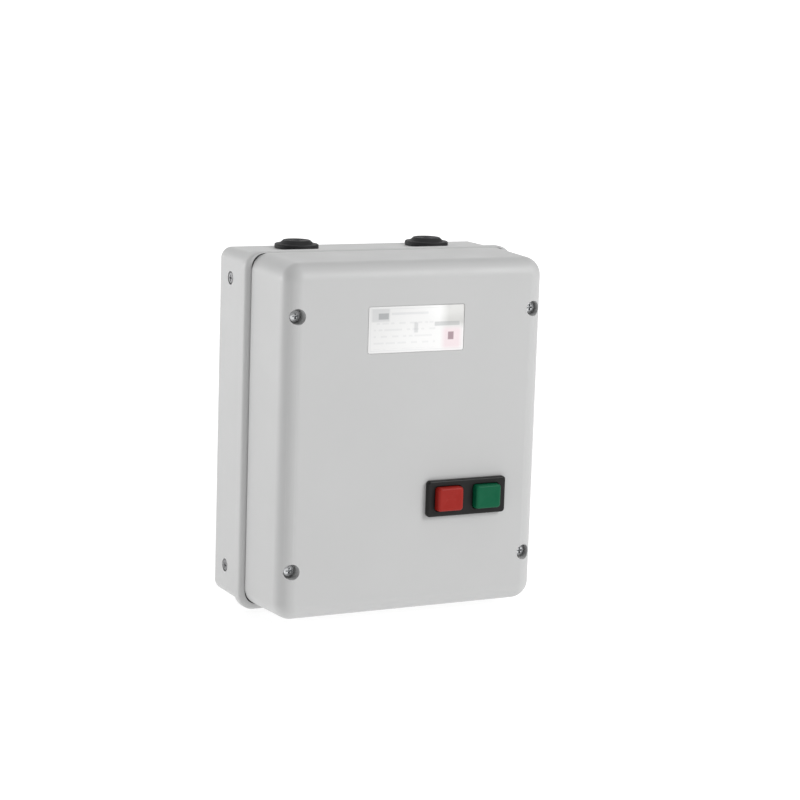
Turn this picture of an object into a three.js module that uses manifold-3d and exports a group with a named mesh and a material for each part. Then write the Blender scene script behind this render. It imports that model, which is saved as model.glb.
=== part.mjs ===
// Enclosed direct-on-line magnetic motor starter: a wall-mounting two-part moulded case with a
// contactor, a thermal overload relay and a start contact block on a chassis plate inside it, and a
// stop and start push-button station in the cover.
//
// Everything is drawn in a wall frame: x to the right, y up, z straight out of the wall, with its
// origin in the middle of the back face. The outer group turns that frame so that the exported
// object has +Z up and its front towards -Y. Millimetres throughout.

import * as THREE from "three";
import { mergeVertices } from "three/addons/utils/BufferGeometryUtils.js";
import Module from "manifold-3d";

const wasm = await Module();
wasm.setup();

// ---------------------------------------------------------------- driving dimensions

const CASE = { w: 205, y0: -126.5, y1: 124, r: 8, wall: 4, back: 4 }; // base tub, outside the walls
const RIM = { proud: 3, top: 2.2, z0: 44, z1: 54, r: 12 }; // flange round the mouth of the base, lower along the top
const COVER = { w: 203, h: 251, r: 13, edge: 12, wall: 3, z0: 54.4, z1: 112, draft: 0.026 };
const FIX = { x: 91, y: 88.5, pocketR: 5.5, pocketZ: 102.6, headR: 4.2 }; // cover screws
const ENTRY = { x: 52, z: 19.2, holeR: 12.7 }; // cable entries in the top wall
const SIDE = { y: 104, z: 19.5 }; // chassis screws in the side walls
const WALLFIX = { x: 75, y: 100, r: 3.25 }; // wall-fixing holes in the back
const STATION = { x: 41, y: -43.5, pitch: 30, w: 62, h: 26 }; // push-button station
const CAP = { w: 20, h: 17, z0: 112, z1: 121 }; // push-button caps
const PRESS = 4; // travel of a push-button
const PLATE = { w: 194, h: 226, z0: 9.6, z1: 11.2 }; // chassis plate
const RAIL = { y: 32.5, z0: 11.4, half: 75 }; // 35 mm top-hat rail
const UNIT = { x: 10, w: 56, y0: -10, y1: 75 }; // contactor
const POLE = 18; // pole pitch
const POLES = [UNIT.x - POLE, UNIT.x, UNIT.x + POLE];
const RELAY = { y0: -80, y1: -12.5, z0: 22, z1: 78 };
const LABEL = { x: -1.4, y: 77.4, w: 73.6, h: 32 };

// ---------------------------------------------------------------- helpers

const solid = (g) => {
  const n = g.index ? g.toNonIndexed() : g.clone();
  for (const k of Object.keys(n.attributes)) if (k !== "position") n.deleteAttribute(k);
  const m = mergeVertices(n, 1e-4);
  const made = new wasm.Manifold(
    new wasm.Mesh({
      numProp: 3,
      vertProperties: new Float32Array(m.attributes.position.array),
      triVerts: new Uint32Array(m.index.array),
    }),
  );
  return made;
};
const geometryOf = (s) => {
  const m = s.getMesh();
  const v = new Float32Array(m.numVert * 3);
  for (let i = 0; i < m.numVert; i++)
    v.set(m.vertProperties.subarray(i * m.numProp, i * m.numProp + 3), i * 3);
  const g = new THREE.BufferGeometry()
    .setAttribute("position", new THREE.BufferAttribute(v, 3))
    .setIndex(new THREE.BufferAttribute(new Uint32Array(m.triVerts), 1));
  g.computeVertexNormals();
  return g;
};
const join = (...s) => s.flat().reduce((a, b) => a.add(b));
const cut = (a, ...s) => s.flat().reduce((p, q) => p.subtract(q), a);

const box = (x0, x1, y0, y1, z0, z1) =>
  solid(
    new THREE.BoxGeometry(x1 - x0, y1 - y0, z1 - z0).translate(
      (x0 + x1) / 2,
      (y0 + y1) / 2,
      (z0 + z1) / 2,
    ),
  );
// A cylinder along one axis: a and b are the centre's other two coordinates in x, y, z order.
const cyl = (axis, r, from, to, a, b, seg = 16) => {
  const g = new THREE.CylinderGeometry(r, r, to - from, seg);
  if (axis === "z") g.rotateX(Math.PI / 2).translate(a, b, (from + to) / 2);
  if (axis === "x") g.rotateZ(Math.PI / 2).translate((from + to) / 2, a, b);
  if (axis === "y") g.translate(a, (from + to) / 2, b);
  return solid(g);
};
const roundedRect = (w, h, r, x = 0, y = 0) => {
  const s = new THREE.Shape();
  const X0 = x - w / 2,
    X1 = x + w / 2,
    Y0 = y - h / 2,
    Y1 = y + h / 2;
  s.moveTo(X0 + r, Y0);
  s.lineTo(X1 - r, Y0);
  s.absarc(X1 - r, Y0 + r, r, -Math.PI / 2, 0, false);
  s.lineTo(X1, Y1 - r);
  s.absarc(X1 - r, Y1 - r, r, 0, Math.PI / 2, false);
  s.lineTo(X0 + r, Y1);
  s.absarc(X0 + r, Y1 - r, r, Math.PI / 2, Math.PI, false);
  s.lineTo(X0, Y0 + r);
  s.absarc(X0 + r, Y0 + r, r, Math.PI, 1.5 * Math.PI, false);
  return s;
};
// A prism along z, with its end edges rounded or chamfered by bevel.
const prism = (shape, z0, z1, bevel = 0, steps = 1, curve = 4) => {
  const g = new THREE.ExtrudeGeometry(shape, {
    depth: z1 - z0 - 2 * bevel,
    bevelEnabled: bevel > 0,
    bevelThickness: bevel,
    bevelSize: bevel,
    bevelOffset: -bevel,
    bevelSegments: steps,
    curveSegments: curve,
  });
  return g.translate(0, 0, z0 + bevel);
};
// Draft: the section shrinks evenly from z0 towards the front.
const taper = (g, z0, k) => {
  const p = g.attributes.position;
  for (let i = 0; i < p.count; i++) {
    const f = k * (p.getZ(i) - z0);
    const x = p.getX(i),
      y = p.getY(i);
    p.setX(i, x - Math.sign(x) * Math.min(Math.abs(x), f));
    p.setY(i, y - Math.sign(y) * Math.min(Math.abs(y), f));
  }
  return g;
};
const lathe = (profile, axis, a, b, at = 0, seg = 20) => {
  const g = new THREE.LatheGeometry(
    profile.map(([r, h]) => new THREE.Vector2(r, h)),
    seg,
  );
  if (axis === "z") g.rotateX(Math.PI / 2).translate(a, b, at);
  if (axis === "y") g.translate(a, at, b);
  let s = solid(g);
  if (s.volume() < 0) {
    const i = g.index.array;
    for (let k = 0; k < i.length; k += 3) [i[k + 1], i[k + 2]] = [i[k + 2], i[k + 1]];
    s = solid(g);
  }
  return s;
};
class Helix extends THREE.Curve {
  constructor(r, z0, z1, turns) {
    super();
    Object.assign(this, { r, z0, z1, turns });
  }
  getPoint(t, target = new THREE.Vector3()) {
    const a = 2 * Math.PI * this.turns * t;
    return target.set(this.r * Math.cos(a), this.r * Math.sin(a), this.z0 + (this.z1 - this.z0) * t);
  }
}
const circle = (r, n) => {
  const s = new THREE.Shape();
  for (let i = 0; i < n; i++) {
    const a = (2 * Math.PI * i) / n;
    if (i) s.lineTo(r * Math.cos(a), r * Math.sin(a));
    else s.moveTo(r * Math.cos(a), r * Math.sin(a));
  }
  s.closePath();
  return s;
};
const tube = (path, r, steps, sides) =>
  solid(
    new THREE.ExtrudeGeometry(circle(r, sides), { steps, extrudePath: path, bevelEnabled: false }),
  );
// A compression spring along z, its wire centres from z0 to z1.
const spring = (x, y, z0, z1, r, wire, turns) =>
  tube(new Helix(r, z0, z1, turns), wire, turns * 6, 4).translate([x, y, 0]);
// A conductor run through a list of points.
const wire = (points, r = 1.2, steps = 16) =>
  tube(
    new THREE.CatmullRomCurve3(
      points.map((p) => new THREE.Vector3(...p)),
      false,
      "centripetal",
    ),
    r,
    steps,
    5,
  );

// ---------------------------------------------------------------- materials

const look = (color, roughness, metalness = 0) =>
  new THREE.MeshStandardMaterial({ color, roughness, metalness });
const M = {
  shell: look(0xcfd0cf, 0.55),
  seal: look(0x2b2c2d, 0.9),
  rubber: look(0x151515, 0.75),
  screw: look(0xb9bbbd, 0.35, 0.9),
  label: look(0xf4f4f2, 0.5),
  steel: look(0xc3c7c9, 0.4, 0.9),
  brass: look(0xc9a75c, 0.35, 0.9),
  copper: look(0xc4794a, 0.35, 0.9),
  black: look(0x161616, 0.45),
  red: look(0xb3261c, 0.35),
  green: look(0x0f7a52, 0.35),
  blue: look(0x2a55a5, 0.4),
  device: look(0x54585c, 0.5),
  pale: look(0xd9d8d2, 0.5),
  coil: look(0x8f3b1e, 0.5),
  iron: look(0x6e7175, 0.5, 0.8),
  cable: look(0x1d1d1f, 0.5),
};

const front = new THREE.Group();
const put = (name, s, material) => {
  const m = new THREE.Mesh(geometryOf(s), material);
  m.name = name;
  front.add(m);
  return m;
};

const corners = [
  ["top_left", -1, 1],
  ["top_right", 1, 1],
  ["bottom_left", -1, -1],
  ["bottom_right", 1, -1],
];

// ---------------------------------------------------------------- base enclosure

{
  const h = CASE.y1 - CASE.y0,
    mid = (CASE.y1 + CASE.y0) / 2;
  const rimH = h + RIM.proud + RIM.top,
    rimMid = mid + (RIM.top - RIM.proud) / 2;
  let s = solid(prism(roundedRect(CASE.w, h, CASE.r, 0, mid), 0, RIM.z1 - 4, 2, 1, 4));
  s = s.add(
    solid(
      prism(roundedRect(CASE.w + 2 * RIM.proud, rimH, RIM.r, 0, rimMid), RIM.z0, RIM.z1, 1, 1, 4),
    ),
  );
  s = s.subtract(
    solid(
      prism(
        roundedRect(CASE.w - 2 * CASE.wall, h - 2 * CASE.wall, 6, 0, mid),
        CASE.back,
        RIM.z1 + 12,
        0,
        1,
        3,
      ),
    ),
  );
  // Bosses for the cover screws, webbed to the side wall, and the pads that carry the chassis plate.
  for (const [, i, j] of corners) {
    s = s.add(cyl("z", 4.75, 2, RIM.z1 - 2, i * FIX.x, j * FIX.y, 12));
    s = s.add(
      box(
        Math.min(i * 94, i * 99.5),
        Math.max(i * 94, i * 99.5),
        j * FIX.y - 1.5,
        j * FIX.y + 1.5,
        2,
        RIM.z1 - 3,
      ),
    );
    s = s.add(box(i * 60 - 7, i * 60 + 7, j * 108 - 4, j * 108 + 4, 2, 9.4));
  }
  for (const [, i, j] of corners) {
    s = s.subtract(cyl("z", 1.7, RIM.z1 - 26, RIM.z1 + 2, i * FIX.x, j * FIX.y, 8));
    s = s.subtract(cyl("z", WALLFIX.r, -1, 6, i * WALLFIX.x, j * WALLFIX.y, 12));
    const a = i < 0 ? -104 : 92,
      b = i < 0 ? -92 : 104;
    s = s.subtract(cyl("x", 2.2, a, b, j * SIDE.y, SIDE.z, 12));
    s = s.subtract(
      cyl("x", 4.8, i < 0 ? -104 : 101.1, i < 0 ? -101.1 : 104, j * SIDE.y, SIDE.z, 16),
    );
  }
  // Cable entries: open in the top wall, moulded-in knock-outs in the bottom wall.
  for (const i of [-1, 1]) {
    s = s.subtract(cyl("y", ENTRY.holeR, 114, 130, i * ENTRY.x, ENTRY.z, 24));
    s = s.subtract(
      cyl("y", ENTRY.holeR, -128, -125.7, i * ENTRY.x, ENTRY.z, 20).subtract(
        cyl("y", ENTRY.holeR - 1.2, -129, -124, i * ENTRY.x, ENTRY.z, 20),
      ),
    );
  }
  // Seal groove in the front of the rim.
  s = s.subtract(
    solid(prism(roundedRect(202.3, 250.3, 9.6), RIM.z1 - 2, RIM.z1 + 1, 0, 1, 3)).subtract(
      solid(prism(roundedRect(198.8, 246.8, 8), RIM.z1 - 3, RIM.z1 + 2, 0, 1, 3)),
    ),
  );
  put("base_enclosure", s, M.shell);
}

// ---------------------------------------------------------------- cover and its seal

{
  const outer = taper(
    prism(roundedRect(COVER.w, COVER.h, COVER.r), 20, COVER.z1, COVER.edge, 4, 4),
    COVER.z0,
    COVER.draft,
  );
  const inner = taper(
    prism(
      roundedRect(COVER.w - 2 * COVER.wall, COVER.h - 2 * COVER.wall, 11),
      20,
      COVER.z1 - COVER.wall,
      9.5,
      3,
      3,
    ),
    COVER.z0,
    COVER.draft,
  );
  let s = solid(outer)
    .subtract(solid(inner))
    .intersect(box(-150, 150, -150, 150, COVER.z0, 200));
  for (const [, i, j] of corners) {
    s = s.add(cyl("z", 4.75, COVER.z0, 107, i * FIX.x, j * FIX.y, 12));
    const x0 = i < 0 ? -99.5 : 94,
      x1 = i < 0 ? -94 : 99.5;
    s = s.add(
      box(x0, x1, j * FIX.y - 1.5, j * FIX.y + 1.5, COVER.z0, 104).intersect(solid(outer)),
    );
    s = s.add(cyl("z", 7, FIX.pocketZ - 3.2, 108.5, i * (FIX.x - 1), j * FIX.y, 14));
  }
  s = s.intersect(solid(outer));
  for (const [, i, j] of corners) {
    s = s.subtract(cyl("z", FIX.pocketR, FIX.pocketZ, 120, i * FIX.x, j * FIX.y, 20));
    s = s.subtract(cyl("z", 2.3, 40, 110, i * FIX.x, j * FIX.y, 10));
  }
  // Opening for the push-button station and the shallow seat of the label.
  s = s.subtract(
    solid(prism(roundedRect(54.8, 22.2, 1.5, STATION.x, STATION.y), 90, 120, 0, 1, 2)),
  );
  s = s.subtract(
    solid(prism(roundedRect(LABEL.w + 1, LABEL.h + 1, 1.5, LABEL.x, LABEL.y), 111.5, 120, 0, 1, 2)),
  );
  put("cover", s, M.shell);

  const ring = solid(
    prism(roundedRect(201.9, 249.9, 9.4), RIM.z1 - 1.8, RIM.z1 + 0.2, 0, 1, 3),
  ).subtract(solid(prism(roundedRect(199.3, 247.3, 8.2), RIM.z1 - 8, RIM.z1 + 12, 0, 1, 3)));
  put("cover_gasket", ring, M.seal);

  put(
    "rating_label",
    solid(prism(roundedRect(LABEL.w, LABEL.h, 1.2, LABEL.x, LABEL.y), 111.55, 111.95, 0, 1, 2)),
    M.label,
  );
}

// Captive cover screws: a cheese head with a cross recess in the corner pocket, and a long shank.
for (const [where, i, j] of corners) {
  const x = i * FIX.x,
    y = j * FIX.y;
  let s = lathe(
    [
      [0, RIM.z1 - 22],
      [1.35, RIM.z1 - 21],
      [1.35, RIM.z1 - 1],
      [1.9, RIM.z1 - 0.4],
      [1.9, 102.9],
      [4.2, 102.9],
      [4.2, 105.2],
      [3.6, 106],
      [0, 106.2],
    ],
    "z",
    x,
    y,
    0,
    16,
  );
  s = s.subtract(box(x - 2.4, x + 2.4, y - 0.5, y + 0.5, 104.6, 112));
  s = s.subtract(box(x - 0.5, x + 0.5, y - 2.4, y + 2.4, 104.6, 112));
  put("cover_screw_" + where, s, M.screw);
}

// ---------------------------------------------------------------- cable-entry grommets

for (const [where, i] of [
  ["left", -1],
  ["right", 1],
]) {
  // Crown, flange, groove for the wall, inner lip, and the hollow behind the membrane.
  const g = [
    [0, 129.9],
    [9.6, 129.9],
    [11.2, 129],
    [12, 127.2],
    [15, 127.2],
    [15.8, 126.4],
    [15.8, 124.15],
    [12.4, 124.15],
    [12.4, 119.85],
    [14.4, 119.85],
    [13.6, 117.4],
    [10.7, 117.4],
    [10.7, 126.8],
    [9.4, 128.4],
    [0, 128.4],
  ];
  put("cable_grommet_" + where, lathe(g, "y", i * ENTRY.x, ENTRY.z, 0, 24), M.rubber);
}

// ---------------------------------------------------------------- chassis plate, rail and screws

{
  const { w, h, z0, z1 } = PLATE;
  let s = solid(prism(roundedRect(w, h, 5), z0, z1, 0, 1, 2));
  for (const [, i, j] of corners) {
    // Round the cover-screw bosses, and over the wall-fixing holes.
    const a = i < 0 ? -100 : 83.2,
      b = i < 0 ? -83.2 : 100;
    s = s.subtract(box(a, b, j * FIX.y - 6.3, j * FIX.y + 6.3, 0, 20));
    s = s.subtract(cyl("z", 7, 0, 20, i * WALLFIX.x, j * WALLFIX.y, 14));
    // Turned-up lug that takes the chassis screw through the side wall.
    const c = i < 0 ? -w / 2 : w / 2 - 1.6;
    s = s.add(box(c, c + 1.6, j * SIDE.y - 8, j * SIDE.y + 8, z0, 32));
    s = s.subtract(cyl("x", 1.75, c - 2, c + 4, j * SIDE.y, SIDE.z, 10));
  }
  s = s.subtract(cyl("z", 1.8, 0, 20, -60, 94, 10));
  put("mounting_plate", s, M.steel);

  // Top-hat rail: a 35 mm flanged channel.
  const y = RAIL.y,
    z = RAIL.z0;
  const prof = [
    [-17.5, 7.5],
    [-12.5, 7.5],
    [-12.5, 1],
    [12.5, 1],
    [12.5, 7.5],
    [17.5, 7.5],
    [17.5, 6.5],
    [13.5, 6.5],
    [13.5, 0],
    [-13.5, 0],
    [-13.5, 6.5],
    [-17.5, 6.5],
  ];
  const parts = [];
  parts.push(box(-RAIL.half, RAIL.half, y - 13.5, y + 13.5, z, z + 1));
  for (const d of [-1, 1]) {
    const a = y + d * 13.5,
      b = y + d * 12.5,
      c = y + d * 17.5;
    parts.push(box(-RAIL.half, RAIL.half, Math.min(a, b), Math.max(a, b), z, z + 7.5));
    parts.push(box(-RAIL.half, RAIL.half, Math.min(b, c), Math.max(b, c), z + 6.5, z + 7.5));
  }
  let rail = join(parts);
  for (const x of [-62, -44]) {
    rail = rail.subtract(
      join(
        box(x - 4, x + 4, y - 2.6, y + 2.6, z - 2, z + 3),
        cyl("z", 2.6, z - 2, z + 3, x - 4, y, 12),
        cyl("z", 2.6, z - 2, z + 3, x + 4, y, 12),
      ),
    );
  }
  put("din_rail", rail, M.steel);
}
for (const [where, i, j] of corners) {
  // Pan head outside, shank through the wall into the lug.
  const y = j * SIDE.y,
    z = SIDE.z;
  const out = i * 102.4;
  const head = cyl("x", 4, Math.min(i * 101.2, out), Math.max(i * 101.2, out), y, z, 16);
  const shank = cyl("x", 1.5, Math.min(i * 93.5, i * 101.4), Math.max(i * 93.5, i * 101.4), y, z, 10);
  let s = head.add(shank);
  const g0 = Math.min(i * 101.8, i * 103.5),
    g1 = Math.max(i * 101.8, i * 103.5);
  s = s.subtract(box(g0, g1, y - 0.5, y + 0.5, z - 2.3, z + 2.3));
  s = s.subtract(box(g0, g1, y - 2.3, y + 2.3, z - 0.5, z + 0.5));
  put("chassis_screw_" + where, s, M.screw);
}

// Earth terminal on the plate.
{
  let s = box(-68, -52, 89, 99, 11.4, 18);
  s = s.subtract(cyl("z", 1.8, 0, 30, -60, 94, 10));
  s = s.subtract(cyl("y", 2.1, 88, 100, -64.6, 14.8, 10));
  s = s.subtract(cyl("y", 2.1, 88, 100, -55.4, 14.8, 10));
  put("earth_terminal", s, M.brass);
  let t = lathe(
    [
      [0, 7.5],
      [1.5, 8.2],
      [1.5, 18.2],
      [3.6, 18.2],
      [3.6, 20.4],
      [0, 20.8],
    ],
    "z",
    -60,
    94,
    0,
    12,
  );
  t = t.subtract(box(-64, -56, 93.5, 94.5, 19.6, 24));
  put("earth_terminal_screw", t, M.screw);
}

// ---------------------------------------------------------------- push-button station

const SX = STATION.x,
  SY = STATION.y;
const CAPX = [SX - STATION.pitch / 2, SX + STATION.pitch / 2];
{
  let s = solid(prism(roundedRect(STATION.w, STATION.h, 2.5, SX, SY), 112.15, 116, 0.8, 1, 3));
  s = s.add(solid(prism(roundedRect(54, 21.6, 1.8, SX, SY), 97, 113.5, 0, 1, 2)));
  for (const x of CAPX) {
    s = s.subtract(
      solid(prism(roundedRect(CAP.w + 0.8, CAP.h + 0.8, 2, x, SY), 99, 120, 0, 1, 2)),
    );
    s = s.subtract(cyl("z", 3.4, 90, 110, x, SY, 12));
  }
  // Snap grooves that the retainer drops into.
  for (const d of [-1, 1])
    s = s.subtract(
      box(
        Math.min(SX + d * 26.2, SX + d * 30),
        Math.max(SX + d * 26.2, SX + d * 30),
        SY - 6,
        SY + 6,
        104.6,
        108.6,
      ),
    );
  put("button_bezel", s, M.black);

  let r = solid(prism(roundedRect(66, 32, 3, SX, SY), 105, 108.3, 0, 1, 2));
  r = r.subtract(box(SX - 27.4, SX + 27.4, SY - 11.2, SY + 11.2, 100, 112));
  for (const d of [-1, 1])
    r = r.add(
      box(
        Math.min(SX + d * 26.6, SX + d * 29),
        Math.max(SX + d * 26.6, SX + d * 29),
        SY - 5.4,
        SY + 5.4,
        105,
        108.3,
      ),
    );
  put("button_retainer", r, M.black);
}
// Each button is a rounded square cap on a long plunger that reaches the device behind it.
const plungerEnd = { stop: 83, start: 63 };
[
  ["stop_button", CAPX[0], plungerEnd.stop, M.red],
  ["start_button", CAPX[1], plungerEnd.start, M.green],
].forEach(([name, x, end, mat]) => {
  let s = solid(prism(roundedRect(CAP.w, CAP.h, 2, x, SY), CAP.z0, CAP.z1, 1, 1, 3));
  s = s.add(cyl("z", 3, end, CAP.z0 + 1, x, SY, 12));
  put(name, s, mat);
});
put("stop_button_spring", spring(CAPX[0], SY, 99.8, 111.2, 4.6, 0.45, 5), M.steel);
put("start_button_spring", spring(CAPX[1], SY, 99.8, 111.2, 4.6, 0.45, 5), M.steel);

// ---------------------------------------------------------------- start contact block

{
  const x = CAPX[1];
  let s = box(x - 8.5, x + 8.5, SY - 18, SY + 18, 11.4, 58);
  s = s.subtract(box(x - 6.3, x + 6.3, SY - 15, SY + 15, 16, 55));
  s = s.subtract(cyl("z", 4.6, 50, 60, x, SY, 14));
  for (const d of [-1, 1]) {
    // Terminal pockets, each open to the front and to its end of the block.
    s = s.subtract(box(x - 4.5, x + 4.5, Math.min(SY + d * 10, SY + d * 20), Math.max(SY + d * 10, SY + d * 20), 46, 60));
    s = s.add(box(x - 6.5, x + 6.5, Math.min(SY + d * 9, SY + d * 18), Math.max(SY + d * 9, SY + d * 18), 42, 46));
  }
  put("start_contact_housing", s, M.device);
  let p = cyl("z", 4.2, 47.5, 62.6, x, SY, 14);
  p = p.add(cyl("z", 5.6, 47, 49.5, x, SY, 14));
  put("start_contact_pusher", p, M.pale);
}

// ---------------------------------------------------------------- contactor

const CX = UNIT.x,
  CY = RAIL.y,
  HW = UNIT.w / 2;
const TRAVEL = 3.5;
{
  let s = box(CX - HW, CX + HW, UNIT.y0, UNIT.y1, 13, 56);
  s = s.subtract(box(CX - HW - 1, CX + HW + 1, CY - 18, CY + 18, 12, 19.2));
  s = s.subtract(box(CX - HW + 3, CX + HW - 3, UNIT.y0 + 5, UNIT.y1 - 5, 21, 60));
  // Coil terminal pockets in the corners of the housing.
  put("contactor_base", s, M.device);
}
{
  // Arc chamber: a raised middle over the carrier, and a terminal shelf at each end with walls between the poles.
  let s = box(CX - HW, CX + HW, UNIT.y0, UNIT.y1, 56.2, 80);
  s = s.add(box(CX - HW, CX + HW, CY - 22, CY + 22, 79, 88));
  s = s.subtract(box(CX - 25, CX + 25, CY - 22, CY + 22, 50, 84.5));
  for (const x of POLES) {
    for (const d of [-1, 1]) {
      const a = CY + d * 26,
        b = CY + d * 60;
      s = s.subtract(box(x - 6.2, x + 6.2, Math.min(a, b), Math.max(a, b), 62.8, 92));
      // Passage for the fixed contact, and the well under the terminal screw.
      const c = CY + d * 20;
      s = s.subtract(box(x - 4.9, x + 4.9, Math.min(c, b), Math.max(c, b), 62.8, 66.5));
      s = s.subtract(cyl("z", 2.6, 58, 70, x, CY + d * 34, 12));
    }
  }
  // Indicator window in the front.
  s = s.subtract(box(CX - 6.6, CX + 6.6, CY - 5, CY + 5, 80, 92));
  put("contactor_arc_chamber", s, M.device);
}
{
  // Fixed E core.
  let s = box(CX - 8, CX + 8, CY - 28, CY + 28, 21.2, 28.2);
  for (const [a, b] of [
    [-28, -19],
    [-8, 8],
    [19, 28],
  ])
    s = s.add(box(CX - 8, CX + 8, CY + a, CY + b, 28, 43));
  put("magnet_core", s, M.iron);

  let bobbin = box(CX - 20, CX + 20, CY - 18.6, CY + 18.6, 28.6, 30);
  bobbin = bobbin.add(box(CX - 20, CX + 20, CY - 18.6, CY + 18.6, 40.2, 41.6));
  bobbin = bobbin.add(box(CX - 10, CX + 10, CY - 10, CY + 10, 29, 41));
  bobbin = bobbin.subtract(box(CX - 8.4, CX + 8.4, CY - 8.4, CY + 8.4, 20, 50));
  put("coil_bobbin", bobbin, M.pale);

  let coil = solid(prism(roundedRect(37, 35, 4, CX, CY), 30.2, 40, 0, 1, 3));
  coil = coil.subtract(box(CX - 10.3, CX + 10.3, CY - 10.3, CY + 10.3, 20, 50));
  put("coil_winding", coil, M.coil);

  let arm = box(CX - 8, CX + 8, CY - 28, CY + 28, 50, 55);
  for (const [a, b] of [
    [-28, -19],
    [-8, 8],
    [19, 28],
  ])
    arm = arm.add(box(CX - 8, CX + 8, CY + a, CY + b, 47, 51));
  put("armature", arm, M.iron);

  // Carrier: a foot on the armature and a crossbar with one window for each bridge.
  let car = box(CX - 20, CX + 14, CY - 9, CY + 9, 55.2, 58.5);
  car = car.add(box(CX - 24, CX + 24, CY - 5, CY + 5, 58, 80.5));
  car = car.add(box(CX - 6, CX + 6, CY - 4.4, CY + 4.4, 80, 88.6));
  for (const x of POLES) car = car.subtract(box(x - 4.6, x + 4.6, CY - 8, CY + 8, 67.4, 77));
  put("contact_carrier", car, M.pale);
  POLES.forEach((x, k) => {
    let b = box(x - 3.5, x + 3.5, CY - 18, CY + 18, 70.2, 71.8);
    for (const d of [-1, 1])
      b = b.add(
        box(x - 3, x + 3, Math.min(CY + d * 13.5, CY + d * 17.5), Math.max(CY + d * 13.5, CY + d * 17.5), 69.3, 70.4),
      );
    // The bridge sits in the foot of its window.
    b = b.add(box(x - 3.5, x + 3.5, CY - 4, CY + 4, 67.7, 70.4));
    put("contact_bridge_l" + (k + 1), b, M.copper);
  });
  put("carrier_spring", spring(CX - 15, CY, 42.4, 54.6, 2.6, 0.4, 6), M.steel);
}
POLES.forEach((x, k) => {
  for (const [kind, d] of [
    ["line", 1],
    ["load", -1],
  ]) {
    const y = (a, b) => [Math.min(CY + d * a, CY + d * b), Math.max(CY + d * a, CY + d * b)];
    let s = box(x - 4.4, x + 4.4, ...y(12.8, 40.5), 63, 64.6);
    s = s.add(box(x - 3, x + 3, ...y(13.5, 17.5), 64.4, 65.4));
    s = s.subtract(cyl("z", 2.2, 60, 70, x, CY + d * 34, 10));
    put(kind + "_terminal_" + (d > 0 ? "l" : "t") + (k + 1), s, M.copper);
    const z = d > 0 ? 64.8 : 66.6;
    let t = lathe(
      [
        [0, 58.4],
        [1.8, 59.2],
        [1.8, z],
        [3.7, z],
        [3.7, z + 2.2],
        [3.1, z + 2.8],
        [0, z + 3],
      ],
      "z",
      x,
      CY + d * 34,
      0,
      12,
    );
    t = t.subtract(box(x - 4, x + 4, CY + d * 34 - 0.5, CY + d * 34 + 0.5, z + 1.8, z + 5));
    put(kind + "_screw_" + (d > 0 ? "l" : "t") + (k + 1), t, M.screw);
  }
});

// ---------------------------------------------------------------- thermal overload relay

{
  const { y0, y1, z0, z1 } = RELAY;
  let s = box(CX - HW, CX + HW, y0, y1, z0, z1);
  // Stepped down to the output terminals at the lower end, with walls between them.
  for (const x of POLES) s = s.subtract(box(x - 6.2, x + 6.2, y0 - 1, y0 + 15, 60, 90));
  s = s.subtract(box(CX - HW - 1, CX + HW + 1, y0 - 1, y0 + 16, 70, 90));
  // Hollow for the heaters and the trip bar, open towards the wall.
  s = s.subtract(box(CX - HW + 2.5, CX + HW - 2.5, y0 + 18.5, y1 - 2.5, z0 - 1, 74.5));
  for (const x of POLES) {
    s = s.subtract(box(x - 4.4, x + 4.4, y1 - 4, y1 + 2, 64.3, 67)); // entry of the link from the contactor
    s = s.subtract(box(x - 4.4, x + 4.4, y0 - 1, y0 + 20, 57.6, 60.4)); // output tab
    s = s.subtract(cyl("z", 2, 52, 62, x, y0 + 7.5, 10));
  }
  s = s.subtract(cyl("z", 4.8, 70, 80, CAPX[0], SY, 16)); // stop and reset button
  s = s.subtract(cyl("z", 6.3, 75.8, 80, CX - 12, -34, 20)); // dial seat
  s = s.subtract(cyl("z", 2.3, 70, 80, CX - 12, -34, 10));
  put("overload_housing", s, M.device);

  POLES.forEach((x, k) => {
    // Link under the contactor's terminal screw, riser, bimetal blade, riser, output tab.
    let h = box(x - 3.9, x + 3.9, -22, 4.5, 64.8, 66.3);
    h = h.subtract(box(x - 2.1, x + 2.1, -1.5 - 2.1, 10, 60, 70));
    h = h.add(box(x - 3.5, x + 3.5, -22, -20.6, 40, 66));
    h = h.add(box(x - 3.5, x + 3.5, -58, -20.6, 40, 41.2));
    h = h.add(box(x - 3.5, x + 3.5, -59.4, -58, 40, 59.5));
    h = h.add(box(x - 3.5, x + 3.5, -78.5, -58, 58, 59.5));
    h = h.subtract(cyl("z", 1.9, 50, 70, x, y0 + 7.5, 10));
    put("overload_heater_t" + (k + 1), h, M.copper);
  });

  let bar = box(CX - 25, CX + 23, -54, -49, 43, 46);
  for (const x of POLES) bar = bar.add(box(x - 6.8, x - 5.4, -54, -49, 37, 44));
  put("overload_trip_bar", bar, M.pale);

  let b = cyl("z", 4.4, 70.2, 82.6, CAPX[0], SY, 14);
  b = b.add(cyl("z", 5.6, 67, 70, CAPX[0], SY, 14)).add(cyl("z", 4.4, 69, 71, CAPX[0], SY, 14));
  put("overload_reset_button", b, M.blue);

  let d = cyl("z", 5.9, 76.2, 79.6, CX - 12, -34, 20);
  d = d.add(cyl("z", 2, 71, 77, CX - 12, -34, 10));
  d = d.subtract(box(CX - 17, CX - 7, -34.6, -33.4, 78.4, 82));
  d = d.subtract(box(CX - 12.6, CX - 11.4, -34, -29, 78.4, 82));
  put("overload_dial", d, M.pale);
}

// ---------------------------------------------------------------- control wiring

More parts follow.
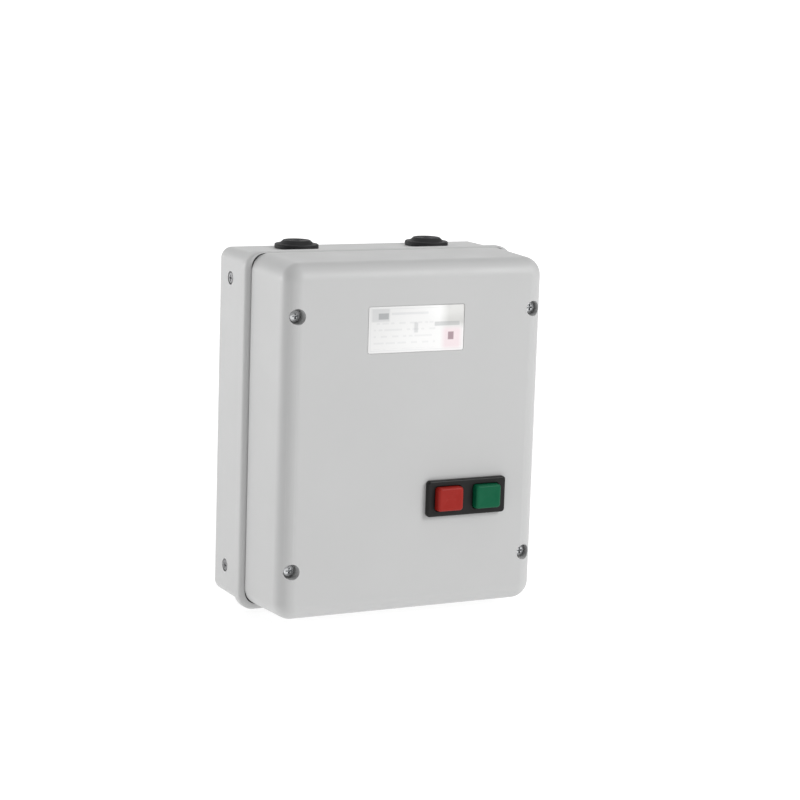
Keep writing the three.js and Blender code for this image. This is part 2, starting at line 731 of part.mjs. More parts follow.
// Line 1 to the relay's break contact, on to the start block, from there to the coil, and back to line 3.
put(
  "wire_l1_to_relay",
  wire([
    [-8, 75.6, 67],
    [-9, 84, 66],
    [-20, 88, 60],
    [-27, 76, 56],
    [-27, 30, 54],
    [-27, -30, 54],
    [-26, -52, 56],
    [-19.6, -58, 58],
  ]),
  M.cable,
);
put(
  "wire_relay_to_start",
  wire([
    [39.6, -68, 50],
    [46, -70, 46],
    [54, -70, 46],
    [56, -66, 48],
    [56, -62.6, 49],
  ], 1.2, 8),
  M.cable,
);
put(
  "wire_start_to_coil",
  wire([
    [56, -24.4, 49],
    [56, -18, 48],
    [53, -8, 42],
    [47, 2, 38],
    [44, 18, 38],
    [39.6, 24, 40],
  ], 1.2, 10),
  M.cable,
);
put(
  "wire_coil_to_l3",
  wire([
    [39.6, 44, 40],
    [45, 50, 42],
    [46, 70, 52],
    [42, 86, 62],
    [32, 88, 67],
    [28, 80, 67],
    [28, 75.6, 67],
  ]),
  M.cable,
);

const starter = new THREE.Group();
front.rotation.x = Math.PI / 2;
starter.add(front);
starter.name = "motor_starter";

export default starter;
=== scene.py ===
import math

import bmesh
import bpy
from mathutils import Matrix, Vector


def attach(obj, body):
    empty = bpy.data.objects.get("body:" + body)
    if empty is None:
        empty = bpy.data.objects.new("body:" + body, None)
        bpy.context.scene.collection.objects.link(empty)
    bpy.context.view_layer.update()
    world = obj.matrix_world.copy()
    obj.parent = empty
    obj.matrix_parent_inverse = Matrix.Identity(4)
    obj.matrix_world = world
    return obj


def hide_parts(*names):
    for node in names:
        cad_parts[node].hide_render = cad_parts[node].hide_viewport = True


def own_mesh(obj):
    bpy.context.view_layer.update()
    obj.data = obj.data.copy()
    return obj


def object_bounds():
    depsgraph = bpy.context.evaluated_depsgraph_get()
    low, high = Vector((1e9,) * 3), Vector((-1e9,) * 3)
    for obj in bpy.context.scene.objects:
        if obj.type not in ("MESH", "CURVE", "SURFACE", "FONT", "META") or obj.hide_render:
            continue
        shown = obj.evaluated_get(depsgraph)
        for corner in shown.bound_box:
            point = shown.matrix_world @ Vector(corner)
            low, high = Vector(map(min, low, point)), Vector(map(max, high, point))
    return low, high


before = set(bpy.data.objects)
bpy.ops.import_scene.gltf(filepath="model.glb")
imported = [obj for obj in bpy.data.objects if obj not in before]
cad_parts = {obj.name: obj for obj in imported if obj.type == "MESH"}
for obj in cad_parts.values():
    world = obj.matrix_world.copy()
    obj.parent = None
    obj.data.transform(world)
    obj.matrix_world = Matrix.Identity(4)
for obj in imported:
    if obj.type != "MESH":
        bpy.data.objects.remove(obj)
cad_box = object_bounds()

# ------------------------------------------------------------------ measures (mm, wall frame)
# x to the right, y up, z out of the wall, as the part's source has them; P() turns them into the row frame.

CASE_W, CASE_Y0, CASE_Y1, CASE_R = 205.0, -126.5, 124.0, 8.0
RIM, RIM_TOP, RIM_Z0, RIM_Z1 = 3.0, 2.2, 44.0, 54.0
COVER_W, COVER_H, COVER_R, COVER_EDGE, COVER_WALL = 203.0, 251.0, 13.0, 12.0, 3.0
COVER_Z0, COVER_Z1, DRAFT = 54.4, 112.0, 0.026
FX, FY = 91.0, 88.5
ENTRY_X, ENTRY_Z, ENTRY_R = 52.0, 19.2, 12.7
SIDE_Y, SIDE_Z = 104.0, 19.5
SX, SY = 41.0, -43.5
CAPX = (SX - 15.0, SX + 15.0)
LABEL = (-1.4, 77.4, 73.6, 32.0)
CORNERS = (("top_left", -1, 1), ("top_right", 1, 1), ("bottom_left", -1, -1), ("bottom_right", 1, -1))


def P(x, y, z):
    return Vector((x / 1000.0, -z / 1000.0, y / 1000.0))


# ------------------------------------------------------------------ mesh helpers


def new_object(name, bm):
    bmesh.ops.recalc_face_normals(bm, faces=bm.faces)
    me = bpy.data.meshes.new(name)
    bm.to_mesh(me)
    bm.free()
    o = bpy.data.objects.new(name, me)
    bpy.context.scene.collection.objects.link(o)
    return o


def rounded(w, h, r, n=12, x=0.0, y=0.0, side=1):
    """Points round a rounded rectangle, anticlockwise; n steps a corner, and each straight side in `side` parts."""
    r = max(min(r, w / 2 - 1e-4, h / 2 - 1e-4), 1e-3)
    pts = []
    for cx, cy, a0 in (
        (w / 2 - r, h / 2 - r, 0),
        (-w / 2 + r, h / 2 - r, 90),
        (-w / 2 + r, -h / 2 + r, 180),
        (w / 2 - r, -h / 2 + r, 270),
    ):
        for k in range(n + 1):
            a = math.radians(a0 + 90.0 * k / n)
            pts.append((x + cx + r * math.cos(a), y + cy + r * math.sin(a)))
    if side > 1:
        out = []
        m = len(pts)
        for i in range(m):
            out.append(pts[i])
            if i % (n + 1) == n:
                q = pts[(i + 1) % m]
                for k in range(1, side):
                    t = k / side
                    out.append((pts[i][0] * (1 - t) + q[0] * t, pts[i][1] * (1 - t) + q[1] * t))
        pts = out
    return pts


def loft(bm, rings, cap_start=True, cap_end=True, place=P):
    """Skins rings of equal length. A ring is (points, z)."""
    made = []
    for pts, z in rings:
        made.append([bm.verts.new(place(px, py, z)) for px, py in pts])
    m = len(made[0])
    for a, b in zip(made, made[1:]):
        for i in range(m):
            j = (i + 1) % m
            bm.faces.new((a[i], a[j], b[j], b[i]))
    if cap_start:
        bm.faces.new(list(reversed(made[0])))
    if cap_end:
        bm.faces.new(made[-1])
    return made


def solid(name, rings, place=P):
    bm = bmesh.new()
    loft(bm, rings, place=place)
    return new_object(name, bm)


def block(name, x0, x1, y0, y1, z0, z1, r=0.0, n=3):
    w, h = x1 - x0, y1 - y0
    if r:
        pts = rounded(w, h, r, n, (x0 + x1) / 2, (y0 + y1) / 2)
    else:
        pts = [(x1, y1), (x0, y1), (x0, y0), (x1, y0)]
    return solid(name, [(pts, z0), (pts, z1)])


def disc(r, n, x=0.0, y=0.0):
    return [(x + r * math.cos(2 * math.pi * k / n), y + r * math.sin(2 * math.pi * k / n)) for k in range(n)]


def rod(name, x, y, profile, n=40):
    """A round solid along z: profile is (radius, z) pairs, first and last radius above zero."""
    return solid(name, [(disc(r, n, x, y), z) for r, z in profile])


def along_x(x0):
    """Places (a, b, c) with a, b across and c along the x axis."""
    return lambda a, b, c: P(c, a, b)


def along_y(a, b, c):
    return P(a, c, b)


def evaluated(o):
    dg = bpy.context.evaluated_depsgraph_get()
    return bpy.data.meshes.new_from_object(o.evaluated_get(dg), depsgraph=dg)


def settle(o):
    """Applies the object's modifiers to its mesh."""
    me = evaluated(o)
    o.modifiers.clear()
    old = o.data
    o.data = me
    bpy.data.meshes.remove(old)
    return o


def combine(o, cutters, op="DIFFERENCE"):
    for c in cutters:
        m = o.modifiers.new("b", "BOOLEAN")
        m.operation = op
        m.solver = "EXACT"
        m.object = c
    settle(o)
    for c in cutters:
        me = c.data
        bpy.data.objects.remove(c)
        bpy.data.meshes.remove(me)
    return o


def soften(o, width, angle=32.0, segments=2, keep=None):
    """Rounds the edges sharper than `angle`: width in mm; keep(point, edge) picks which."""
    bm = bmesh.new()
    bm.from_mesh(o.data)
    bmesh.ops.remove_doubles(bm, verts=bm.verts, dist=2e-6)
    bmesh.ops.dissolve_degenerate(bm, dist=2e-6, edges=bm.edges)
    pick = []
    for e in bm.edges:
        if len(e.link_faces) != 2 or e.calc_face_angle(0.0) < math.radians(angle):
            continue
        mid = (e.verts[0].co + e.verts[1].co) / 2
        if keep is None or keep(mid * 1000.0, e):
            pick.append(e)
    if pick:
        bmesh.ops.bevel(
            bm,
            geom=pick,
            offset=width / 1000.0,
            offset_type="OFFSET",
            segments=segments,
            profile=0.5,
            affect="EDGES",
            clamp_overlap=True,
        )
    bm.to_mesh(o.data)
    bm.free()
    return o


def smooth(o, angle=32.0):
    """Smooth shading, broken at edges sharper than `angle`."""
    bm = bmesh.new()
    bm.from_mesh(o.data)
    for f in bm.faces:
        f.smooth = True
    for e in bm.edges:
        e.smooth = len(e.link_faces) == 2 and e.calc_face_angle(0.0) < math.radians(angle)
    bm.to_mesh(o.data)
    bm.free()
    return o


def finish_piece(o, material, body, node=None):
    o.data.materials.clear()
    o.data.materials.append(material)
    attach(o, body)
    if node:
        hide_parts(*([node] if isinstance(node, str) else node))
    return o


# ------------------------------------------------------------------ materials


class Nodes:
    """A few shorthands for building a shader."""

    def __init__(self, name):
        self.m = bpy.data.materials.new(name)
        self.m.use_nodes = True
        self.t = self.m.node_tree
        self.t.nodes.clear()
        self.out = self.t.nodes.new("ShaderNodeOutputMaterial")
        self.bsdf = self.t.nodes.new("ShaderNodeBsdfPrincipled")
        self.t.links.new(self.bsdf.outputs[0], self.out.inputs[0])
        self.coord = self.t.nodes.new("ShaderNodeTexCoord").outputs["Object"]

    def put(self, **sockets):
        for k, v in sockets.items():
            self.bsdf.inputs[k.replace("_", " ")].default_value = v

    def link(self, a, b):
        self.t.links.new(a, b)

    def scaled(self, sx, sy, sz, offset=(0, 0, 0)):
        n = self.t.nodes.new("ShaderNodeMapping")
        n.inputs["Scale"].default_value = (sx, sy, sz)
        n.inputs["Location"].default_value = offset
        self.link(self.coord, n.inputs["Vector"])
        return n.outputs[0]

    def noise(self, scale, detail=3.0, rough=0.5, vector=None):
        n = self.t.nodes.new("ShaderNodeTexNoise")
        n.inputs["Scale"].default_value = scale
        n.inputs["Detail"].default_value = detail
        n.inputs["Roughness"].default_value = rough
        self.link(vector or self.coord, n.inputs["Vector"])
        return n.outputs["Fac"]

    def voronoi(self, scale, feature="F1", vector=None):
        n = self.t.nodes.new("ShaderNodeTexVoronoi")
        n.feature = feature
        n.inputs["Scale"].default_value = scale
        self.link(vector or self.coord, n.inputs["Vector"])
        return n.outputs["Distance"]

    def wave(self, scale, direction="X", kind="BANDS", vector=None, distortion=0.0):
        n = self.t.nodes.new("ShaderNodeTexWave")
        n.wave_type = kind
        if kind == "BANDS":
            n.bands_direction = direction
        else:
            n.rings_direction = direction
        n.inputs["Scale"].default_value = scale
        n.inputs["Distortion"].default_value = distortion
        self.link(vector or self.coord, n.inputs["Vector"])
        return n.outputs["Fac"]

    def ramp(self, fac, *stops):
        n = self.t.nodes.new("ShaderNodeValToRGB")
        r = n.color_ramp
        while len(r.elements) > len(stops):
            r.elements.remove(r.elements[-1])
        while len(r.elements) < len(stops):
            r.elements.new(0.5)
        for e, (p, c) in zip(r.elements, stops):
            e.position = p
            e.color = (*c, 1.0) if len(c) == 3 else c
        self.link(fac, n.inputs["Fac"])
        return n.outputs["Color"]

    def range(self, value, a, b, c, d):
        n = self.t.nodes.new("ShaderNodeMapRange")
        for i, v in enumerate((a, b, c, d), 1):
            n.inputs[i].default_value = v
        self.link(value, n.inputs[0])
        return n.outputs[0]

    def math(self, op, a, b=None, c=None):
        n = self.t.nodes.new("ShaderNodeMath")
        n.operation = op
        for i, v in enumerate((a, b, c)):
            if v is None:
                continue
            if isinstance(v, (int, float)):
                n.inputs[i].default_value = v
            else:
                self.link(v, n.inputs[i])
        return n.outputs[0]

    def mix(self, fac, a, b):
        n = self.t.nodes.new("ShaderNodeMix")
        n.data_type = "RGBA"
        for i, v in ((0, fac), (6, a), (7, b)):
            if isinstance(v, (int, float)):
                n.inputs[i].default_value = v
            elif isinstance(v, tuple):
                n.inputs[i].default_value = (*v, 1.0)
            else:
                self.link(v, n.inputs[i])
        return n.outputs[2]

    def pointiness(self):
        return self.t.nodes.new("ShaderNodeNewGeometry").outputs["Pointiness"]

    def xyz(self):
        n = self.t.nodes.new("ShaderNodeSeparateXYZ")
        self.link(self.coord, n.inputs[0])
        return n.outputs

    def bump(self, height, strength, distance):
        n = self.t.nodes.new("ShaderNodeBump")
        n.inputs["Strength"].default_value = strength
        n.inputs["Distance"].default_value = distance
        self.link(height, n.inputs["Height"])
        prev = self.bsdf.inputs["Normal"]
        if prev.is_linked:
            self.link(prev.links[0].from_socket, n.inputs["Normal"])
        self.link(n.outputs[0], self.bsdf.inputs["Normal"])
        return n


def plastic(name, colour, roughness, grain=2200.0, depth=0.00002, strength=0.35, vary=0.04, edge=0.06, coat=0.0, gloss=0.5):
    """Moulded plastic: a spark-eroded grain, slow unevenness in tone and gloss, and edges rubbed a little."""
    n = Nodes(name)
    big = n.noise(14.0, 4.0, 0.55)
    fine = n.noise(grain, 2.0, 0.6)
    lo = tuple(max(c * (1 - vary), 0.0) for c in colour)
    hi = tuple(min(c * (1 + vary), 1.0) for c in colour)
    base = n.ramp(big, (0.3, lo), (0.7, hi))
    speck = n.range(n.noise(420.0, 2.0, 0.7), 0.62, 0.78, 0.0, 0.05)
    base = n.mix(speck, base, tuple(c * 0.55 for c in colour))
    worn = n.range(n.pointiness(), 0.53, 0.62, 0.0, edge * 6)
    worn = n.math("MULTIPLY", worn, n.range(n.noise(90.0, 4.0, 0.6), 0.35, 0.65, 0.2, 1.0))
    base = n.mix(worn, base, tuple(min(c * 1.22 + 0.03, 1.0) for c in colour))
    n.link(base, n.bsdf.inputs["Base Color"])
    smear = n.noise(38.0, 5.0, 0.6)
    n.link(n.range(smear, 0.3, 0.7, roughness - 0.05, roughness + 0.06), n.bsdf.inputs["Roughness"])
    n.put(IOR=1.5, Specular_IOR_Level=gloss)
    if coat:
        n.bsdf.inputs["Coat Weight"].default_value = coat
        n.bsdf.inputs["Coat Roughness"].default_value = 0.18
    n.bump(fine, strength, depth)
    n.bump(n.noise(60.0, 2.0, 0.5), 0.12, 0.0002)
    return n.m


def metal(name, colour, roughness, brush=(900.0, 60.0, 60.0), depth=0.00001, vary=0.08, stain=0.25):
    n = Nodes(name)
    v = n.scaled(*brush)
    lines = n.noise(1.0, 4.0, 0.7, v)
    cloud = n.noise(120.0, 5.0, 0.65)
    lo = tuple(c * (1 - vary) for c in colour)
    base = n.ramp(cloud, (0.3, lo), (0.7, colour))
    base = n.mix(n.range(n.noise(60.0, 6.0, 0.7), 0.55, 0.75, 0.0, stain), base, tuple(c * 0.6 for c in colour))
    n.link(base, n.bsdf.inputs["Base Color"])
    n.put(Metallic=1.0)
    n.link(n.range(lines, 0.25, 0.75, roughness - 0.08, roughness + 0.12), n.bsdf.inputs["Roughness"])
    n.bump(lines, 0.3, depth)
    return n.m


CASE_GREY = (0.528, 0.530, 0.529)
MAT = {
    "case": plastic("case_grey", CASE_GREY, 0.46, grain=1500.0, depth=0.00003, strength=0.3, vary=0.012, edge=0.03),
    "device": plastic("device_grey", (0.085, 0.093, 0.105), 0.5, vary=0.08, edge=0.1),
    "ivory": plastic("ivory", (0.72, 0.70, 0.62), 0.42, vary=0.03),
    "black": plastic("bezel_black", (0.0075, 0.0070, 0.0068), 0.42, grain=1800.0, strength=0.25, vary=0.1, edge=0.05, gloss=0.28),
    "red": plastic("stop_red", (0.310, 0.016, 0.011), 0.42, grain=1800.0, strength=0.12, vary=0.05, edge=0.03, gloss=0.18),
    "green": plastic("start_green", (0.0006, 0.103, 0.045), 0.42, grain=1800.0, strength=0.12, vary=0.05, edge=0.03, gloss=0.16),
    "blue": plastic("reset_blue", (0.02, 0.09, 0.42), 0.35, strength=0.15, vary=0.05),
    "cable": plastic("cable_pvc", (0.016, 0.016, 0.018), 0.42, strength=0.15, vary=0.1),
    "steel": metal("zinc_sheet", (0.62, 0.64, 0.66), 0.34, brush=(40.0, 700.0, 40.0)),
    "screw": metal("plated_screw", (0.66, 0.67, 0.68), 0.26, brush=(500.0, 500.0, 500.0), stain=0.15),
    "zinc": metal("dark_zinc_screw", (0.22, 0.22, 0.225), 0.42, brush=(500.0, 500.0, 500.0), stain=0.35),
    "spring": metal("spring_wire", (0.5, 0.5, 0.52), 0.3, brush=(900.0, 900.0, 900.0)),
    "brass": metal("brass_block", (0.78, 0.55, 0.22), 0.3),
    "copper": metal("contact_copper", (0.80, 0.42, 0.24), 0.32),
    "iron": metal("laminated_iron", (0.28, 0.28, 0.29), 0.45, brush=(2600.0, 20.0, 20.0), depth=0.00008, stain=0.5),
}


def rubber_material(name, colour):
    n = Nodes(name)
    dust = n.noise(50.0, 6.0, 0.65)
    base = n.ramp(dust, (0.35, colour), (0.75, tuple(c * 1.9 + 0.006 for c in colour)))
    n.link(base, n.bsdf.inputs["Base Color"])
    n.link(n.range(dust, 0.3, 0.7, 0.52, 0.72), n.bsdf.inputs["Roughness"])
    n.put(IOR=1.5, Specular_IOR_Level=0.3)
    n.bump(n.noise(900.0, 3.0, 0.6), 0.35, 0.00004)
    return n.m


MAT["rubber"] = rubber_material("grommet_rubber", (0.012, 0.012, 0.013))
MAT["seal"] = rubber_material("seal_rubber", (0.03, 0.03, 0.032))


def label_material():
    """A printed film label: white stock, ruled rows with plain bars where print would be, a dull beige corner and a small dark mark."""
    n = Nodes("printed_label")
    X = n.xyz()
    lx, ly, lw, lh = LABEL
    u = n.range(X[0], (lx - lw / 2) / 1000, (lx + lw / 2) / 1000, 0.0, 1.0)
    v = n.range(X[2], (ly - lh / 2) / 1000, (ly + lh / 2) / 1000, 0.0, 1.0)

    def band(value, a, b, soft=0.004):
        up = n.range(value, a - soft, a + soft, 0.0, 1.0)
        down = n.range(value, b - soft, b + soft, 1.0, 0.0)
        return n.math("MULTIPLY", up, down)

    stock = n.ramp(n.noise(30.0, 3.0, 0.5), (0.3, (0.875, 0.875, 0.87)), (0.7, (0.90, 0.90, 0.895)))
    # A dull beige corner at the upper right.
    wash = n.math("MULTIPLY", n.range(u, 0.74, 0.84, 0.0, 0.85), n.range(v, 0.45, 0.62, 0.0, 1.0))
    col = n.mix(wash, stock, (0.575, 0.572, 0.556))
    # Rows of plain pale grey bars, broken up along their length.
    rows = n.math("FRACT", n.math("MULTIPLY", v, 7.0))
    row = band(rows, 0.34, 0.62, 0.05)
    row_id = n.math("FLOOR", n.math("MULTIPLY", v, 7.0))
    shift = n.math("MULTIPLY", row_id, 0.317)
    words = n.t.nodes.new("ShaderNodeTexNoise")
    words.noise_dimensions = "1D"
    words.inputs["Scale"].default_value = 17.0
    words.inputs["Detail"].default_value = 0.0
    n.link(n.math("ADD", u, shift), words.inputs["W"])
    gap = n.range(words.outputs["Fac"], 0.44, 0.47, 0.0, 1.0)
    inside = n.math("MULTIPLY", band(u, 0.055, 0.70), band(v, 0.08, 0.72))
    bars = n.math("MULTIPLY", n.math("MULTIPLY", row, gap), inside)
    col = n.mix(n.math("MULTIPLY", bars, 0.16), col, (0.45, 0.46, 0.48))
    # A plain heading block with a thin bar beside it, a short bar at the right, and the frame line.
    corner = n.math("MULTIPLY", band(u, 0.03, 0.215, 0.01), band(v, 0.68, 0.955, 0.02))
    col = n.mix(n.math("MULTIPLY", corner, 0.42), col, (0.52, 0.53, 0.54))
    head = n.math("MULTIPLY", band(u, 0.10, 0.205), band(v, 0.73, 0.86))
    col = n.mix(n.math("MULTIPLY", head, 0.50), col, (0.22, 0.23, 0.25))
    upright = n.math("MULTIPLY", band(u, 0.475, 0.515, 0.006), band(v, 0.42, 0.64, 0.02))
    col = n.mix(n.math("MULTIPLY", upright, 0.34), col, (0.34, 0.35, 0.37))
    thin = n.math("MULTIPLY", band(u, 0.235, 0.62), band(v, 0.82, 0.87))
    col = n.mix(n.math("MULTIPLY", thin, 0.20), col, (0.40, 0.42, 0.45))
    bar = n.math("MULTIPLY", band(u, 0.69, 0.955), band(v, 0.55, 0.64))
    col = n.mix(n.math("MULTIPLY", bar, 0.42), col, (0.34, 0.35, 0.36))
    edge = n.math("MULTIPLY", band(u, 0.018, 0.982, 0.002), band(v, 0.04, 0.96, 0.004))
    inner = n.math("MULTIPLY", band(u, 0.024, 0.976, 0.002), band(v, 0.054, 0.946, 0.004))
    line = n.math("SUBTRACT", edge, inner)
    col = n.mix(n.math("MULTIPLY", line, 0.18), col, (0.50, 0.51, 0.53))
    # A small plain dark square near the lower right corner, in a faint pink patch.
    haze = n.math("MULTIPLY", band(u, 0.78, 0.975, 0.03), band(v, 0.05, 0.50, 0.06))
    col = n.mix(n.math("MULTIPLY", haze, 0.62), col, (0.80, 0.62, 0.66))
    mark = n.math("MULTIPLY", band(u, 0.835, 0.895), band(v, 0.24, 0.41, 0.008))
    col = n.mix(n.math("MULTIPLY", mark, 0.70), col, (0.20, 0.10, 0.13))
    n.link(col, n.bsdf.inputs["Base Color"])
    n.link(n.range(n.noise(70.0, 4.0, 0.6), 0.3, 0.7, 0.30, 0.42), n.bsdf.inputs["Roughness"])
    n.put(IOR=1.48)
    n.bump(n.noise(35.0, 2.0, 0.5), 0.1, 0.0002)
    return n.m


MAT["label"] = label_material()

# ------------------------------------------------------------------ shading of faceted CAD pieces


def angle_group(angle):
    g = bpy.data.node_groups.new("smooth_by_angle", "GeometryNodeTree")
    g.interface.new_socket("Geometry", in_out="INPUT", socket_type="NodeSocketGeometry")
    g.interface.new_socket("Geometry", in_out="OUTPUT", socket_type="NodeSocketGeometry")
    i, o = g.nodes.new("NodeGroupInput"), g.nodes.new("NodeGroupOutput")
    ang = g.nodes.new("GeometryNodeInputMeshEdgeAngle")
    cmp = g.nodes.new("FunctionNodeCompare")
    cmp.data_type = "FLOAT"
    cmp.operation = "LESS_EQUAL"
    cmp.inputs[1].default_value = math.radians(angle)
    g.links.new(ang.outputs["Unsigned Angle"], cmp.inputs[0])
    face = g.nodes.new("GeometryNodeSetShadeSmooth")
    face.domain = "FACE"
    face.inputs["Shade Smooth"].default_value = True
    edge = g.nodes.new("GeometryNodeSetShadeSmooth")
    edge.domain = "EDGE"
    g.links.new(cmp.outputs[0], edge.inputs["Shade Smooth"])
    g.links.new(i.outputs[0], face.inputs[0])
    g.links.new(face.outputs[0], edge.inputs[0])
    g.links.new(edge.outputs[0], o.inputs[0])
    return g


BY_ANGLE = angle_group(36.0)


def dress(node, material, bevel=0.0, segments=2, angle=38.0):
    """Gives a CAD node its material, a small edge radius and clean shading, by modifiers alone."""
    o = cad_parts[node]
    for s in o.material_slots:
        s.link = "OBJECT"
        s.material = material
    if not o.material_slots:
        o.data.materials.append(material)
    w = o.modifiers.new("weld", "WELD")
    w.merge_threshold = 2e-6
    if bevel:
        b = o.modifiers.new("edge", "BEVEL")
        b.width = bevel / 1000.0
        b.segments = segments
        b.limit_method = "ANGLE"
        b.angle_limit = math.radians(angle)
        b.use_clamp_overlap = True
    s = o.modifiers.new("shade", "NODES")
    s.node_group = BY_ANGLE
    n = o.modifiers.new("normals", "WEIGHTED_NORMAL")
    n.keep_sharp = True
    return o


def weighted(o):
    m = o.modifiers.new("normals", "WEIGHTED_NORMAL")
    m.keep_sharp = True
    return o


def revolve(name, profile, n=56, place=P, x=0.0, y=0.0):
    """A solid of revolution round the local z axis through (x, y). profile is (radius, z), both ends on the axis."""
    bm = bmesh.new()
    rings = []
    for r, z in profile:
        if r < 1e-6:
            rings.append([bm.verts.new(place(x, y, z))])
        else:
            rings.append([bm.verts.new(place(px, py, z)) for px, py in disc(r, n, x, y)])
    for a, b in zip(rings, rings[1:]):
        if len(a) == 1 and len(b) == 1:
            continue
        for i in range(n):
            j = (i + 1) % n
            if len(a) == 1:
                bm.faces.new((a[0], b[j], b[i]))
            elif len(b) == 1:
                bm.faces.new((a[i], a[j], b[0]))
            else:
                bm.faces.new((a[i], a[j], b[j], b[i]))
    return new_object(name, bm)


def loop_loft(name, rings, place=P):
    """A ring-shaped solid: the last ring joins back to the first."""
    bm = bmesh.new()
    made = [[bm.verts.new(place(px, py, z)) for px, py in pts] for pts, z in rings]
    m = len(made[0])
    for a, b in zip(made, made[1:] + made[:1]):
        for i in range(m):
            j = (i + 1) % m
            bm.faces.new((a[i], a[j], b[j], b[i]))
    return new_object(name, bm)


def merge(name, objs):
    """Joins objects that don't touch into one."""
    bm = bmesh.new()
    for o in objs:
        bm.from_mesh(o.data)
        me = o.data
        bpy.data.objects.remove(o)
        bpy.data.meshes.remove(me)
    return new_object(name, bm)


def arc(r0, z0, r, a0, a1, k):
    """Points (radius, z) on an arc of radius r about (r0, z0), degrees from +radius towards +z."""
    return [
        (r0 + r * math.cos(math.radians(a0 + (a1 - a0) * i / k)), z0 + r * math.sin(math.radians(a0 + (a1 - a0) * i / k)))
        for i in range(k + 1)
    ]


# ------------------------------------------------------------------ base


def build_base():
    N = 12

    def rr(g, r, top=None):
        """The tub's outline grown by g on three sides and by top along its upper side."""
        t = g if top is None else top
        y0, y1 = CASE_Y0 - g, CASE_Y1 + t
        return rounded(CASE_W + 2 * g, y1 - y0, r, N, 0.0, (y0 + y1) / 2)

    def sq(w, h, r):
        return rounded(w, h, r, N)

    rings = []
    for k in range(6):  # rounded back edge
        a = math.radians(90.0 * k / 5)
        i = 2.0 * (1 - math.sin(a))
        rings.append((rr(-i, CASE_R - i), 2.0 - 2.0 * math.cos(a)))
    rings.append((rr(0.0, CASE_R), RIM_Z0 - 0.8))
    for k in range(1, 4):  # root fillet under the rim
        a = math.radians(90.0 * k / 3)
        g = 0.8 * (1 - math.cos(a))
        rings.append((rr(g, CASE_R + g, g * RIM_TOP / RIM), RIM_Z0 - 0.8 + 0.8 * math.sin(a)))
    for q, up_ in ((1.2, True), (3.7, False)):  # small radius behind, a generous one in front
        steps = 4 if up_ else 8
        for k in range(steps + 1):
            a = math.radians(90.0 * k / steps)
            f = q * (math.sin(a) if up_ else math.cos(a))
            g, t = RIM - q + f, RIM_TOP - min(q, 0.95) + f * min(q, 0.95) / q
            z = RIM_Z0 + q * (1 - math.cos(a)) if up_ else RIM_Z1 - q * (1 - math.sin(a))
            rings.append((rr(g, 9.0 + g, t), z))
    rings += [
        (sq(202.3, 250.3, 9.6), RIM_Z1),
        (sq(202.3, 250.3, 9.6), RIM_Z1 - 2.0),
        (sq(198.8, 246.8, 8.0), RIM_Z1 - 2.0),
        (sq(198.8, 246.8, 8.0), RIM_Z1),
        (rr(-4.0, 6.0), RIM_Z1),
        (rr(-4.0, 6.0), 6.0),
    ]
    for k in range(1, 4):  # floor fillet
        a = math.radians(90.0 * k / 3)
        i = 2.0 * (1 - math.cos(a))
        rings.append((rr(-4.0 - i, 6.0 - i), 6.0 - 2.0 * math.sin(a)))
    o = solid("base_shell", rings)
    bosses, webs, pads = [], [], []
    for _, i, j in CORNERS:
        bosses.append(rod("b", i * FX, j * FY, [(5.3, 3.0), (4.75, 5.5), (4.75, RIM_Z1 - 2.4), (4.35, RIM_Z1 - 2.0)], 32))
        webs.append(block("w", min(i * 94, i * 99.5), max(i * 94, i * 99.5), j * FY - 1.5, j * FY + 1.5, 3.0, RIM_Z1 - 3.0))
        pads.append(block("p", i * 60 - 7, i * 60 + 7, j * 108 - 4, j * 108 + 4, 3.0, 9.4, 1.0))
    combine(o, [merge("bosses", bosses)], "UNION")
    combine(o, [merge("webs", webs)], "UNION")
    combine(o, [merge("pads", pads)], "UNION")
    cut = []
    for _, i, j in CORNERS:
        cut.append(rod("c", i * FX, j * FY, [(1.7, RIM_Z1 - 26.0), (1.7, RIM_Z1 - 3.1), (2.6, RIM_Z1 - 1.4)], 24))
        cut.append(rod("c", i * 75, j * 100, [(3.25, -1.0), (3.25, 6.0)], 28))
        cut.append(
            solid("c", [(disc(2.2, 24, j * SIDE_Y, SIDE_Z), i * 92), (disc(2.2, 24, j * SIDE_Y, SIDE_Z), i * 101.05),
                        (disc(4.8, 24, j * SIDE_Y, SIDE_Z), i * 101.1),
                        (disc(4.8, 24, j * SIDE_Y, SIDE_Z), i * 104)], place=lambda a, b, c: P(c, a, b)))
    combine(o, [merge("holes", cut)])
    cut = []
    for i in (-1, 1):
        ring = disc(ENTRY_R, 64, i * ENTRY_X, ENTRY_Z)
        slug = disc(ENTRY_R - 1.2, 64, i * ENTRY_X, ENTRY_Z)
        cut.append(solid("e", [(ring, 114.0), (ring, 130.0)], place=along_y))
        cut.append(loop_loft("k", [(ring, -128.0), (ring, -125.8), (slug, -125.8), (slug, -128.0)], place=along_y))
    combine(o, [merge("entries", cut)])
    soften(o, 0.35, 40.0, 2)
    smooth(o, 34.0)
    weighted(o)
    return finish_piece(o, MAT["case"], "base", "base_enclosure")


build_base()

# ------------------------------------------------------------------ cover


